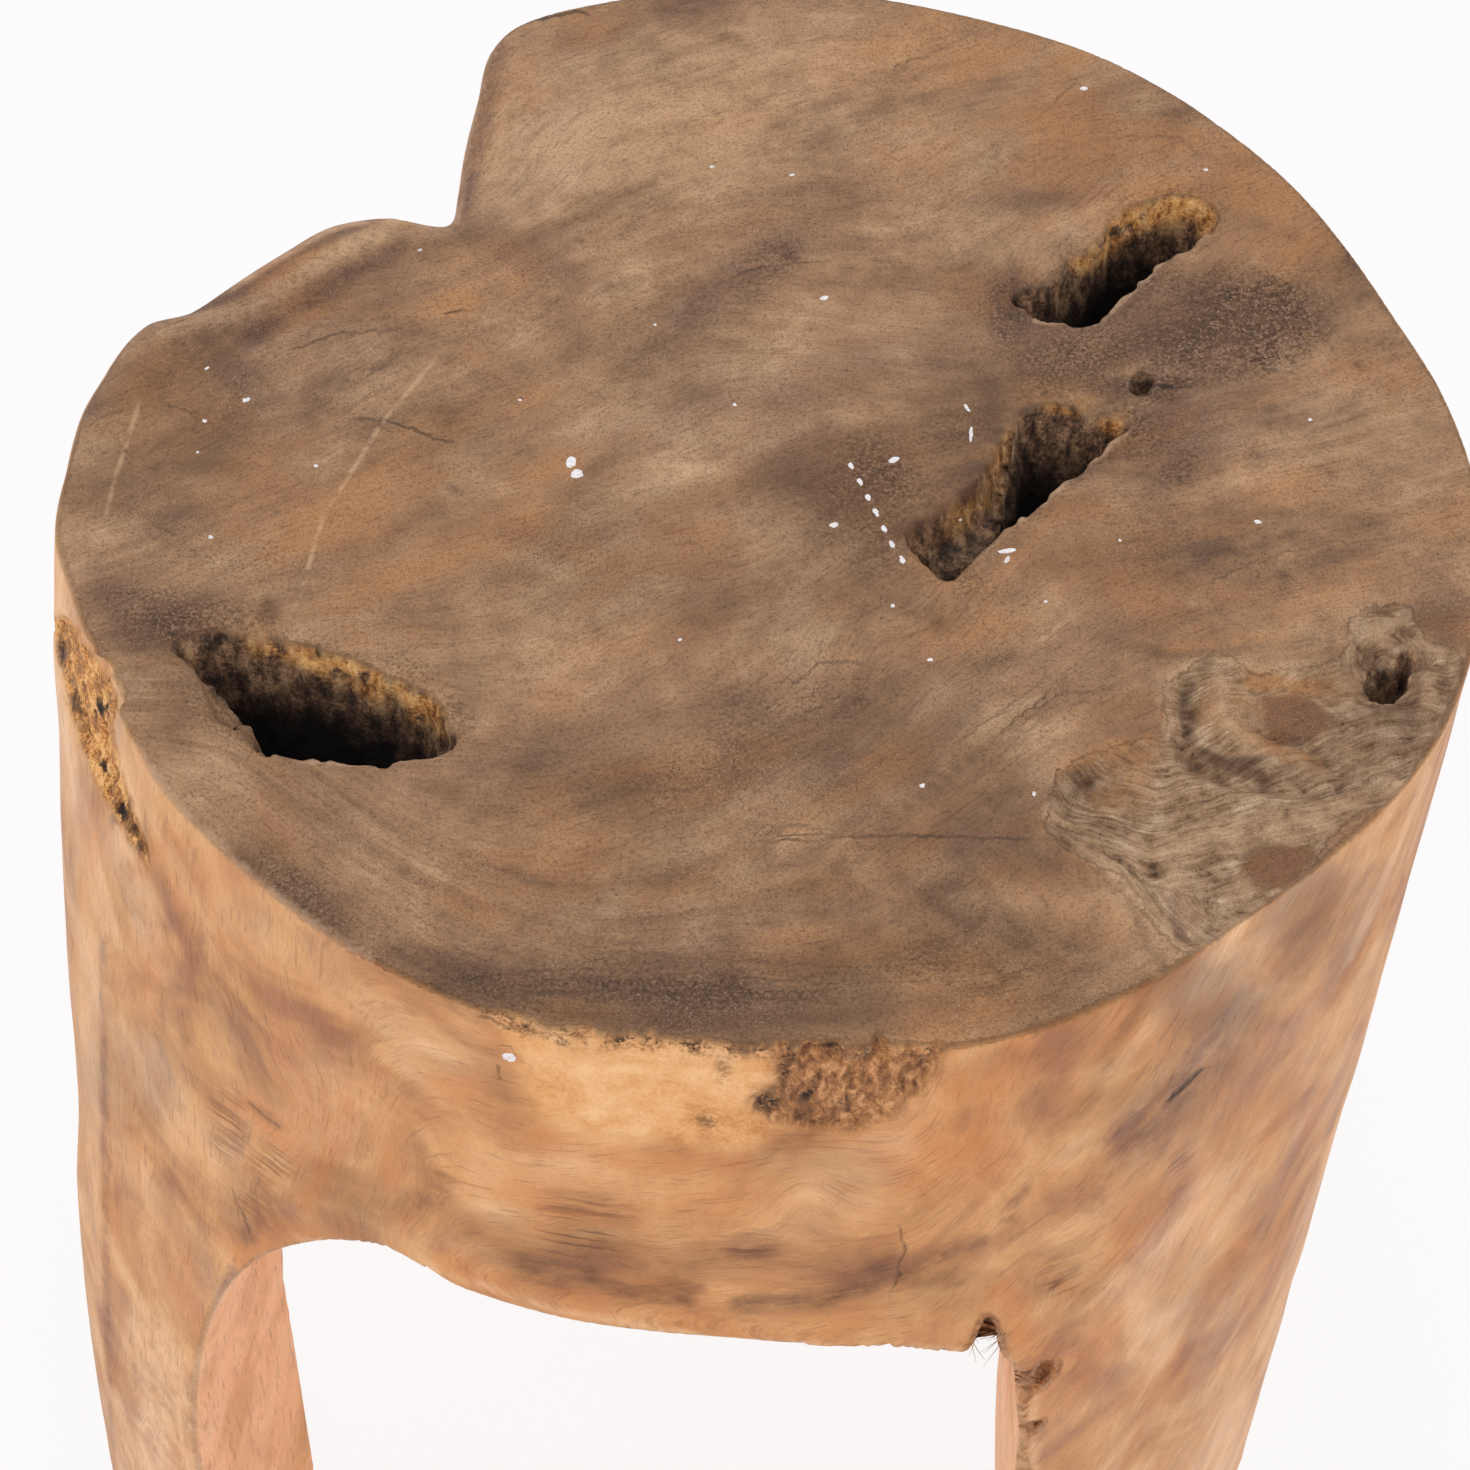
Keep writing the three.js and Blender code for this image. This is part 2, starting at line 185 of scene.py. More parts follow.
BARK_PIT = ((1131, 372), (1148, 371), (1152, 385), (1142, 394), (1132, 386))
PURPLE_PATCH = ((1120, 275), (1180, 262), (1250, 270), (1305, 290), (1322, 340), (1290, 375), (1230, 392),
                (1170, 395), (1140, 340))

# Pits that go deep: outline, depth and shift of the floor in millimetres, size of the floor as a share
PITS = (
    (LEFT_HOLE, 93.0, (13.0, -21.0), 0.55),
    (UPPER_HOLE, 82.0, (-8.0, -13.0), 0.50),
    (LOWER_HOLE, 82.0, (5.0, -16.0), 0.50),
    (KNOT_HOLE, 17.0, (0.0, -3.0), 0.60),
    (BARK_PIT, 3.5, (0.0, -1.0), 0.60),
)

# How many of these are open hollows, how many have a worn mouth, and which one the slope runs into
HOLLOWS = 3
WORN_MOUTHS = 4
LOWER_PIT = 2

# Finest mesh edge on the wall of each, its rounding, and how far from its middle it is looked for
PIT_EDGES = (1.5, 1.4, 1.3, 1.2, 1.1)
PIT_ROUNDING = 1.6
PIT_REACH = 75

# Mean depth of the left hollow's ledge, of the slope and of the pocket
LEDGE_DEPTH = 8
SLOPE_DEPTH = 17
POCKET_DEPTH = 3.4

# Outline of the seam of old bark under the rim at the left, in pixels
BARK_SEAM = ((54, 624), (60, 664), (68, 700), (79, 736), (92, 772), (109, 808), (128, 838), (146, 862),
             (151, 872), (146, 846), (135, 816), (125, 786), (119, 758), (112, 730), (117, 706), (112, 684),
             (98, 662), (84, 644), (66, 618))

# Grooves of the side: path by bearing in degrees and height in millimetres, depth and half width
SIDE_GROOVES = (
    (((278.5, 361), (280, 352), (279.4, 341), (278.2, 333), (278.0, 327)), 0.8, 1.3),
    (((286.0, 318), (286.4, 330), (287.5, 338)), 0.9, 1.6),
    (((302.5, 428), (305, 436)), 0.8, 1.2),
    (((291.5, 407), (293, 412)), 0.7, 1.2),
    (((203.5, 60), (204.5, 180), (205.5, 300), (207, 372)), -0.9, 7.0),
)

# Outlines of the pale patch of old bark at the front of the rim, and of the torn brown wood beside it
BARK_PATCH = ((505, 1010), (512, 1040), (522, 1070), (536, 1098), (556, 1122), (590, 1138), (640, 1146),
              (700, 1150), (752, 1146), (780, 1130), (784, 1100), (780, 1060), (778, 1020), (640, 1005))
TORN_PATCH = ((772, 1015), (776, 1060), (777, 1086), (754, 1088), (750, 1110), (772, 1126), (820, 1130),
              (862, 1124), (898, 1108), (926, 1084), (944, 1052), (934, 1030), (860, 1010))

# Bites out of the corner of the front arch and of the right leg's edge: middle and half sizes
BITES = (
    ((60.0, -196.0, 308.0), (2.6, 4.0, 3.6)),
    ((75.8, -190.0, 274.5), (6.0, 5.5, 7.6)),
    ((76.0, -190.0, 245.0), (3.8, 4.0, 3.2)),
)

# Outline in pixels of the gap torn right through that corner, how far back it reaches, and where it is
# looked for: middle and half width along X, rearmost along Y and lowest height
CORNER_GAP = ((986, 1318), (994, 1324), (998, 1340), (1000, 1372), (958, 1372), (971, 1348), (979, 1332))
CORNER_GAP_BACK = -170.0
CORNER_PLACE = (62, 30, -130, 220)

# Features in the pocket: paths that its fibres follow and knots that they circle, in pixels
POCKET_FLOWS = (
    ((1040, 812), (1100, 836), (1151, 852), (1230, 838), (1352, 803), (1410, 775)),
    ((1052, 832), (1105, 866), (1138, 905), (1185, 955)),
)
POCKET_KNOTS = (((1386, 652), 13.0),)

# Hollows in the pocket: path in pixels, reach and depth in millimetres
POCKET_HOLLOWS = (
    (((1204, 754), (1232, 768), (1262, 776)), 8, 3.6),
    (((1183, 676), (1184, 712), (1192, 745)), 6, 1.8),
    (((1082, 780),), 14, 2.0),
    (((1335, 745), (1380, 760)), 12, 2.0),
    (POCKET_FLOWS[0], 7, -1.8), (POCKET_FLOWS[1], 6, -1.2),
    (((1222, 684), (1228, 716)), 9, -3.4), (((1236, 728), (1288, 752), (1321, 771)), 6, -2.2),
    (((1344, 750), (1372, 764), (1398, 784)), 5, -1.8), (((1428, 672), (1430, 706)), 6, -2.0),
    (((1392, 706),), 10, -2.6), (((1366, 628), (1378, 618), (1392, 622)), 6, -1.6),
    (((1200, 790), (1260, 800)), 10, -1.2),
    (((1386, 622), (1398, 640)), 7, -1.5),
)

# Ovals sanded smooth in the pocket: middle in pixels, half sizes in millimetres, turn and depth
POCKET_OVALS = (
    ((1294, 712), (10.5, 7.5), -18, 1.6),
    ((1279, 862), (11.0, 7.0), 20, 2.0),
)

# Stains on the seat, with some painted highlight and shade among them: middle and half sizes in pixels, turn
# in degrees, strength
SEAT_STAINS = {
    "purple": (
        (730, 287, 100, 28, 35, 0.75), (1038, 199, 66, 12, 4, 0.7), (1012, 310, 26, 48, 0, 0.9),
        (1240, 325, 90, 54, 8, 0.6), (1180, 430, 66, 42, 15, 0.55), (218, 468, 32, 12, 0, 0.5),
        (232, 372, 40, 20, -40, 0.6), (1438, 608, 40, 32, 60, 0.7), (472, 140, 84, 14, 76, 0.6),
        (262, 302, 96, 16, 26, 0.4), (385, 262, 66, 16, 14, 0.35), (530, 258, 80, 22, -24, 0.5),
        (130, 612, 60, 36, -30, 0.6), (960, 332, 76, 40, 60, 0.35), (820, 372, 120, 24, 22, 0.35),
        (860, 480, 66, 50, 0, 0.3), (640, 522, 130, 18, 20, 0.3), (780, 702, 140, 30, 12, 0.35),
        (1080, 640, 130, 16, 25, 0.35), (560, 782, 170, 22, 12, 0.3), (330, 562, 66, 18, 20, 0.2),
        (700, 610, 40, 60, -20, 0.25), (640, 420, 100, 20, 20, 0.3), (420, 180, 60, 14, 30, 0.3),
        (1150, 560, 90, 30, 30, 0.3), (1010, 860, 90, 26, -30, 0.35), (330, 830, 90, 22, -12, 0.3),
        (1082, 783, 12, 8, 0, 0.8), (1340, 850, 60, 12, 40, 0.5), (1190, 440, 60, 26, 20, 0.6),
    ),
    "orange": (
        (453, 303, 34, 18, 10, 0.7), (168, 400, 62, 66, 30, 0.45), (262, 505, 64, 62, 0, 0.45),
        (1039, 226, 28, 8, 20, 0.7), (582, 549, 24, 12, 20, 0.6), (1291, 488, 48, 14, 10, 0.6),
        (965, 633, 76, 22, 15, 0.55), (900, 62, 140, 40, 10, 0.5), (700, 122, 130, 50, 15, 0.4),
        (500, 262, 60, 30, 0, 0.4), (1194, 633, 30, 10, 25, 0.5), (1060, 130, 66, 22, -20, 0.4),
        (880, 480, 60, 70, 60, 0.35), (935, 560, 34, 22, 0, 0.8), (640, 640, 110, 20, 12, 0.35),
        (1330, 590, 96, 24, 20, 0.4), (520, 862, 90, 40, 10, 0.35), (1060, 390, 50, 16, 0, 0.5),
        (420, 690, 34, 20, -30, 0.6), (220, 640, 30, 8, 0, 0.5), (880, 900, 90, 16, -10, 0.3),
        (300, 660, 30, 8, -20, 0.5), (1160, 190, 40, 10, 10, 0.6), (470, 905, 60, 14, -10, 0.35),
        (1130, 760, 40, 16, 20, 0.6), (1280, 688, 44, 14, 0, 0.6), (1226, 700, 34, 34, 0, 0.55),
        (1120, 800, 40, 14, 10, 0.5), (1330, 690, 30, 20, 0, 0.5),
    ),
    "dark": (
        (1017, 155, 9, 5, 0, 0.9), (790, 255, 7, 5, 0, 0.8), (622, 287, 18, 7, 20, 0.5),
        (995, 662, 28, 13, 20, 0.5), (939, 627, 12, 12, 0, 0.6), (1361, 369, 4, 4, 0, 0.9),
        (1259, 455, 4, 4, 0, 0.9), (1327, 470, 4, 4, 0, 0.9), (454, 491, 6, 5, 0, 0.7),
        (722, 503, 4, 4, 0, 0.8), (1284, 579, 12, 8, 0, 0.9), (584, 236, 24, 5, 42, 0.5),
        (292, 898, 76, 34, -38, 0.45), (640, 988, 250, 26, -2, 0.45), (920, 1012, 110, 18, 3, 0.4),
        (850, 960, 100, 20, 0, 0.45), (1175, 390, 46, 14, 5, 0.7), (1095, 384, 60, 10, -6, 0.6),
        (470, 690, 24, 34, 0, 0.35), (150, 640, 44, 14, 0, 0.5), (270, 612, 12, 16, 0, 0.8),
        (160, 800, 50, 20, -40, 0.3), (1180, 470, 26, 14, 30, 0.4), (990, 400, 16, 30, 0, 0.5),
        (700, 980, 60, 12, 0, 0.4), (1030, 1000, 60, 12, 0, 0.4), (560, 600, 60, 10, 30, 0.2),
        # (1237, 764) is a painted shadow in the pocket's deepest hollow
        (1237, 764, 30, 8, 8, 0.9), (1190, 705, 9, 38, 0, 0.4), (1384, 672, 18, 15, 0, 1.0),
        (1396, 712, 26, 15, 0, 0.8), (1310, 772, 44, 14, 10, 0.6), (1142, 383, 16, 12, 0, 0.9),
        (1290, 740, 30, 8, 0, 0.5), (1205, 665, 14, 8, 30, 0.6), (1330, 640, 6, 20, 0, 0.5),
    ),
    "pale": (
        (660, 120, 260, 90, 10, 0.7), (370, 370, 60, 50, 0, 0.4), (1000, 240, 130, 40, -10, 0.3),
        (1350, 430, 90, 60, 0, 0.4), (700, 400, 150, 60, 0, 0.35), (1199, 602, 11, 8, 0, 0.8),
        (758, 615, 11, 4, 20, 0.9), (789, 554, 54, 52, 0, 0.5), (500, 662, 170, 50, 10, 0.18),
        # (150, 335), (290, 285), (200, 318) and (360, 238) lie along the lobe's rolled lip: painted
        # highlight
        (150, 335, 60, 12, 20, 0.4), (290, 285, 60, 10, 36, 0.7), (200, 318, 50, 9, 14, 0.7),
        (360, 238, 40, 9, 20, 0.7), (660, 160, 120, 40, 20, 0.25), (760, 60, 150, 30, 8, 0.25),
        (1330, 400, 90, 24, -30, 0.25), (430, 470, 90, 18, 24, 0.2), (600, 740, 120, 18, 10, 0.2),
        (860, 820, 180, 20, 6, 0.2),
        (1105, 856, 60, 9, -33, 0.9), (1235, 832, 110, 16, 8, 0.8), (1350, 803, 60, 8, 18, 0.8),
        (1178, 905, 16, 46, 12, 0.7), (1376, 634, 20, 14, 0, 0.9), (1398, 622, 12, 9, 0, 0.9),
        (1250, 722, 16, 30, 0, 0.5), (1429, 690, 10, 18, 0, 0.7), (1240, 895, 16, 22, 0, 0.6),
        (1160, 690, 8, 20, 0, 0.5), (1300, 664, 50, 5, 4, 0.7), (1180, 672, 14, 5, 40, 0.7),
    ),
}

# Bands of colour that follow a line: path, half width in pixels, strength
SEAT_BANDS = {
    "pale": (
        # painted highlight along the lobe's rolled lip
        (((382, 236), (330, 256), (290, 284), (240, 314), (160, 328)), 9, 1.0),
        (((1147, 856), (1230, 836), (1320, 816), (1391, 790)), 5, 1.0),
        (((1160, 872), (1230, 852), (1330, 826)), 4, 0.8), (((1150, 842), (1215, 826)), 4, 0.8),
        (((1049, 812), (1105, 862), (1157, 914), (1183, 948)), 8, 1.0),
        (((1344, 748), (1372, 762), (1400, 786)), 5, 0.9),
        (((1163, 690), (1172, 676), (1190, 664), (1215, 657), (1250, 666), (1276, 671),
          (1308, 666)), 3.5, 1.0),
        (((1362, 610), (1350, 640), (1352, 690)), 5, 0.6), (((1222, 684), (1232, 722)), 10, 0.7),
        (((1166, 742), (1170, 700), (1186, 672)), 4, 0.8),
        (((1418, 640), (1440, 652), (1458, 654)), 6, 0.8),
        (((840, 905), (905, 915), (960, 938)), 12, 0.35),
        (((950, 905), (1040, 900), (1120, 905)), 14, 0.35),
        (((860, 865), (890, 900), (900, 930)), 16, 0.35),
    ),
    "purple": (
        (((497, 50), (487, 100), (471, 165), (462, 212)), 10, 1.0),
        # painted shade in the groove inside the lobe's lip
        (((402, 248), (350, 274), (300, 302), (250, 340)), 11, 0.9),
        (((376, 220), (335, 236), (300, 252), (262, 276), (230, 298), (190, 312)), 4, 0.9),
        (((1428, 790), (1370, 834), (1310, 882), (1240, 932), (1190, 962)), 9, 0.6),
        (((1173, 900), (1180, 938)), 6, 0.8), (((1075, 770), (1090, 792)), 6, 0.6),
        (((900, 775), (980, 700), (1090, 640), (1230, 600), (1330, 560)), 16, 0.35),
        (((735, 760), (800, 780), (860, 770)), 26, 0.5), (((480, 770), (560, 745), (640, 700)), 26, 0.4),
    ),
    "dark": (
        (((1183, 676), (1184, 712), (1192, 745)), 6, 0.6),
        # painted shadow in the pocket's deepest hollow
        (((1204, 754), (1232, 768), (1262, 776)), 7, 1.0),
        (((430, 985), (560, 1012), (700, 1024), (860, 1014), (1000, 985), (1100, 935)), 7, 0.5),
        (((1063, 692), (1000, 735), (930, 790), (900, 820)), 4, 0.5),
        (((1100, 640), (1180, 655), (1240, 650), (1320, 640)), 5, 0.5),
        (((735, 720), (800, 750), (880, 742), (960, 700)), 30, 0.3),
        (((900, 880), (960, 925), (1000, 975)), 5, 0.4), (((955, 850), (990, 890), (1040, 960)), 6, 0.4),
        (((1130, 900), (1150, 950), (1170, 975)), 5, 0.5),
    ),
    "orange": (
        (((1236, 728), (1288, 752), (1321, 771)), 9, 0.8),
        (((1252, 680), (1300, 688), (1330, 690)), 12, 0.9),
        (((1063, 770), (1100, 750), (1150, 745)), 12, 0.7), (((1100, 800), (1140, 780)), 12, 0.6),
        (((860, 850), (880, 890), (900, 930)), 30, 0.35),
        (((1000, 880), (1060, 900), (1110, 930)), 24, 0.5),
        (((1170, 650), (1220, 640), (1290, 636)), 6, 0.6),
        (((980, 600), (1030, 540), (1060, 510)), 14, 0.5), (((640, 900), (740, 890), (830, 880)), 10, 0.5),
    ),
}
SIDE_BANDS = {
    "pale": (
        # the first row is a painted highlight along the front arch's eased edge
        (((296, 1238), (408, 1262), (470, 1282), (563, 1312), (656, 1328), (735, 1342), (860, 1347),
          (965, 1350)), 3, 0.8),
        (((1034, 1385), (1032, 1425), (1034, 1470)), 5, 0.7),
        (((1429, 771), (1391, 865), (1350, 960)), 4, 0.8),
        # the last row on the next line, along the left leg's outline, is a painted sheen
        (((1412, 760), (1372, 850), (1330, 930)), 4, 0.5), (((94, 940), (92, 1100), (98, 1300)), 6, 0.5),
        (((1205, 1150), (1190, 1250), (1200, 1330)), 12, 0.3),
        (((170, 1360), (182, 1410), (194, 1470)), 16, 1.0),
        (((150, 1330), (160, 1400), (150, 1470)), 26, 1.0), (((112, 1400), (124, 1470)), 12, 0.7),
    ),
    "purple": (
        (((103, 940), (104, 1100), (106, 1250), (112, 1470)), 4, 0.7),
        (((233, 1272), (220, 1300), (211, 1340), (207, 1376)), 5, 1.0),
        (((1125, 1138), (1170, 1095), (1215, 1050)), 22, 0.9),
        (((1092, 1205), (1130, 1168), (1160, 1150)), 14, 0.7),
        (((1140, 1260), (1150, 1230), (1180, 1190)), 18, 0.6),
        (((1330, 1000), (1350, 930), (1380, 870)), 12, 0.5),
        (((1190, 1400), (1215, 1330), (1240, 1260)), 14, 0.5),
        (((250, 1235), (262, 1215), (258, 1190)), 12, 0.8), (((240, 1150), (246, 1125)), 5, 1.0),
    ),
    "dark": (
        (((735, 1304), (819, 1300), (866, 1286), (922, 1262), (979, 1242)), 9, 0.7),
        (((560, 1266), (620, 1290), (690, 1300)), 9, 0.7),
        (((1010, 1220), (1014, 1205), (1030, 1180)), 5, 0.6), (((1040, 1292), (1075, 1268)), 7, 0.3),
        (((1170, 1100), (1200, 1070)), 3, 0.8), (((1250, 1290), (1230, 1330), (1210, 1360)), 4, 0.4),
        (((1080, 1120), (1105, 1060), (1140, 1010)), 8, 0.5),
        (((165, 985), (158, 1030), (170, 1080)), 6, 0.35), (((232, 1040), (215, 1000), (170, 985)), 6, 0.4),
    ),
    "orange": (
        (((780, 1130), (880, 1128), (960, 1100), (1030, 1060)), 22, 0.45),
        (((540, 1140), (640, 1160), (740, 1160)), 14, 0.8),
        (((250, 1105), (280, 1130), (300, 1150)), 14, 0.8),
        (((304, 1205), (318, 1180), (330, 1150)), 8, 0.8), (((1120, 1400), (1180, 1380)), 20, 0.4),
        (((1010, 1300), (1030, 1345)), 16, 0.8), (((140, 870), (150, 850)), 12, 0.9),
    ),
}

# Broad parts of the seat and of the side that are darker as a whole
SEAT_SHADE = (
    (170, 430, 120, 140, -20, 0.45), (160, 640, 90, 80, 0, 0.35), (640, 995, 320, 80, 0, 0.45),
    (1100, 545, 120, 60, -25, 0.25), (930, 790, 180, 100, -20, 0.45), (1080, 340, 160, 110, 0, 0.45),
    (860, 510, 130, 110, 0, 0.6), (1080, 150, 160, 60, 20, 0.3), (660, 890, 180, 50, 0, 0.4),
    (1380, 720, 80, 110, 30, 0.3), (960, 940, 160, 70, -20, 0.5), (680, 360, 90, 70, 0, 0.5),
    (1000, 420, 120, 80, 0, 0.5), (620, 560, 130, 80, 0, 0.4), (780, 590, 110, 70, 0, 0.5),
    (450, 470, 70, 60, 0, 0.35), (690, 800, 110, 60, 0, 0.5), (620, 880, 160, 60, 0, 0.3),
    (1000, 780, 80, 60, -20, 0.35), (980, 450, 110, 60, 0, 0.4),
)
SIDE_SHADE = (
    (1170, 1090, 110, 60, 35, 0.45), (1060, 1290, 60, 50, 0, 0.25), (330, 1200, 90, 60, 0, 0.25),
    (600, 1250, 110, 50, 0, 0.3), (880, 1290, 120, 30, 0, 0.25), (1205, 1000, 80, 60, -35, 0.8),
    (1310, 905, 60, 70, -50, 0.6), (100, 760, 20, 90, -15, 0.4), (790, 1150, 120, 30, 0, 0.35),
    (700, 1115, 110, 40, 0, 0.5), (130, 1075, 60, 60, 0, 0.4),
)

# Crusty patches of fine dark fibres round the hollows and along the rim
SEAT_CRUST = (
    (1080, 355, 72, 32, 8, 0.9), (1150, 388, 62, 20, 5, 0.8), (1240, 325, 86, 50, 8, 1.0),
    (1006, 315, 22, 46, 0, 0.8), (880, 498, 58, 76, -10, 0.8), (950, 430, 40, 30, 0, 0.6),
    (962, 575, 60, 14, -25, 0.7), (1180, 470, 34, 14, 30, 0.5), (200, 622, 80, 24, -6, 0.9),
    (150, 600, 66, 20, 0, 0.6), (205, 712, 46, 20, -45, 0.6), (415, 672, 44, 18, -25, 0.5),
    (462, 716, 20, 24, 0, 0.6), (292, 898, 82, 32, -38, 0.7), (640, 988, 240, 24, -2, 0.5),
    (880, 972, 120, 20, 2, 0.4), (770, 700, 150, 40, 8, 0.35), (740, 288, 100, 24, 35, 0.5),
    (640, 760, 200, 46, 10, 0.25), (1130, 430, 40, 30, 0, 0.7), (240, 560, 90, 20, 0, 0.3),
    (560, 545, 80, 60, 20, 0.2), (1095, 785, 40, 24, 0, 0.3),
)

# Golden fibres on the walls of the hollows, partly a painted pool of light on the upper parts of their far
# walls
LIT_HOLE_GOLD = (
    (330, 662, 92, 15, -16, 1.0), (420, 704, 38, 22, -45, 1.0), (372, 690, 40, 14, -25, 0.7),
    (1160, 212, 62, 20, 18, 1.0), (1104, 246, 22, 18, 40, 0.9), (1088, 262, 18, 12, 0, 0.8),
    (1208, 222, 12, 22, 0, 0.8), (1075, 404, 32, 10, 0, 1.0), (1118, 428, 16, 14, 0, 0.9),
    (1000, 450, 14, 44, -14, 0.6), (975, 512, 16, 40, -50, 0.6), (1385, 640, 14, 8, 0, 0.8),
)

# Where the worn rim shows as a pale line, partly wear and partly painted highlight, and where the near edges
# of the hollows show as a pale line
RIM_WEAR_AND_HIGHLIGHT = (((108, 719), (116, 745), (164, 790), (209, 834), (253, 882), (307, 920), (362, 959)),
            ((496, 45), (484, 95), (467, 165), (455, 215)),
            ((440, 228), (375, 220), (330, 236), (290, 260), (240, 290)))
PALE_MOUTH = (((266, 750), (301, 757), (368, 763), (432, 755)),
              ((1040, 320), (1068, 322), (1098, 320), (1115, 304), (1135, 284), (1160, 261), (1200, 234)),
              ((1128, 422), (1105, 448), (1070, 477), (1035, 507), (990, 537)))

# Stains on the side, as on the seat, with some painted sheen among the pale rows
SIDE_STAINS = {
    "purple": (
        (171, 922, 18, 12, 20, 0.6), (198, 938, 16, 10, 0, 0.5), (174, 1016, 24, 14, 0, 0.5),
        (244, 1134, 10, 14, 0, 0.8), (272, 1211, 28, 28, 0, 0.7), (408, 1148, 20, 26, 0, 0.5),
        (1158, 1104, 66, 26, 35, 0.6), (1136, 1252, 14, 26, 10, 0.5), (1184, 1165, 20, 20, 0, 0.4),
        (1061, 1278, 28, 20, 0, 0.15), (1240, 1010, 60, 16, 40, 0.5), (1320, 960, 40, 60, 60, 0.4),
        (1180, 1280, 50, 60, 50, 0.35), (1250, 1200, 30, 60, 20, 0.35), (1100, 1180, 60, 20, 40, 0.35),
        (340, 1050, 40, 16, -20, 0.25), (1120, 1400, 30, 50, 60, 0.3), (200, 1280, 12, 60, 0, 0.25),
    ),
    "dark": (
        (360, 1213, 30, 34, 0, 0.4), (412, 1205, 34, 18, 0, 0.5), (552, 1274, 54, 16, -6, 0.6),
        (683, 1286, 22, 10, 0, 0.6), (594, 1245, 46, 30, 0, 0.45), (750, 1246, 36, 14, 0, 0.45),
        (795, 1143, 38, 9, 15, 0.4), (905, 1273, 84, 18, -4, 0.45), (250, 1000, 14, 60, 0, 0.25),
        (140, 845, 14, 26, 20, 0.7), (101, 708, 8, 12, 0, 1.0),
        (103, 768, 8, 14, 0, 1.0), (122, 812, 9, 16, -30, 1.0), (62, 652, 5, 16, 0, 0.9),
        (78, 700, 6, 14, 0, 0.7), (767, 1100, 16, 12, 0, 1.0), (786, 1062, 8, 36, -12, 1.0),
        (808, 1092, 18, 7, 40, 1.0), (850, 1098, 22, 5, 30, 0.7), (830, 1040, 30, 5, 10, 0.6),
        (720, 1070, 5, 22, 0, 0.6), (704, 1030, 5, 8, 0, 0.9), (563, 1040, 8, 8, 0, 0.9),
        (767, 1030, 6, 8, 0, 0.8), (265, 1115, 26, 6, -36, 0.6), (185, 1040, 10, 8, 0, 0.5),
        (440, 1182, 18, 12, 0, 0.4), (130, 890, 20, 40, 0, 0.35), (470, 1010, 60, 10, -22, 0.5),
        (1000, 1060, 60, 14, 15, 0.3), (330, 1180, 30, 20, 0, 0.3), (708, 1122, 14, 9, 0, 0.6),
        (1040, 1100, 40, 12, 40, 0.3), (930, 1200, 50, 20, 20, 0.25),
    ),
    "orange": (
        (456, 1087, 34, 20, 0, 0.6), (860, 1060, 70, 34, 0, 0.5), (150, 985, 24, 70, 0, 0.4),
        (700, 1200, 90, 30, 0, 0.35), (330, 1240, 60, 14, -10, 0.5), (960, 1150, 60, 50, 20, 0.4),
        (1040, 1370, 30, 60, 0, 0.4), (1060, 1282, 30, 10, -35, 0.9), (1006, 1296, 16, 18, 0, 0.8),
        (560, 1180, 80, 20, 0, 0.3), (1180, 1030, 60, 24, 30, 0.35), (640, 1310, 160, 14, -12, 0.4),
        (110, 1200, 20, 90, 0, 0.3),
    ),
    "pale": (
        (176, 1415, 26, 70, 0, 0.7), (330, 1100, 66, 54, 0, 0.35), (560, 1165, 46, 22, 0, 0.4),
        # (90, 1000) and (1220, 1380) lie along the legs' outlines: painted sheen
        (742, 1062, 22, 30, 0, 0.3), (840, 1190, 50, 40, 0, 0.3), (90, 1000, 16, 120, 0, 0.5),
        (1300, 1040, 50, 60, 60, 0.35), (1220, 1380, 26, 110, 0, 0.45), (380, 1010, 60, 20, -30, 0.3),
        (250, 930, 50, 18, -40, 0.3), (900, 1110, 60, 16, 0, 0.3), (430, 1240, 60, 14, -10, 0.25),
    ),
}

# Patches of the side that a rasp has left scored
SIDE_RASPED = (
    (226, 1125, 20, 38, 0, 0.8), (271, 1165, 20, 22, 0, 0.9), (442, 1182, 17, 12, 0, 0.8),
    (580, 1232, 56, 36, 0, 1.0), (748, 1246, 34, 15, 0, 0.9), (1184, 1164, 16, 17, 0, 0.8),
    (1061, 1278, 24, 22, 0, 0.8), (250, 1205, 20, 16, 0, 0.6),
)

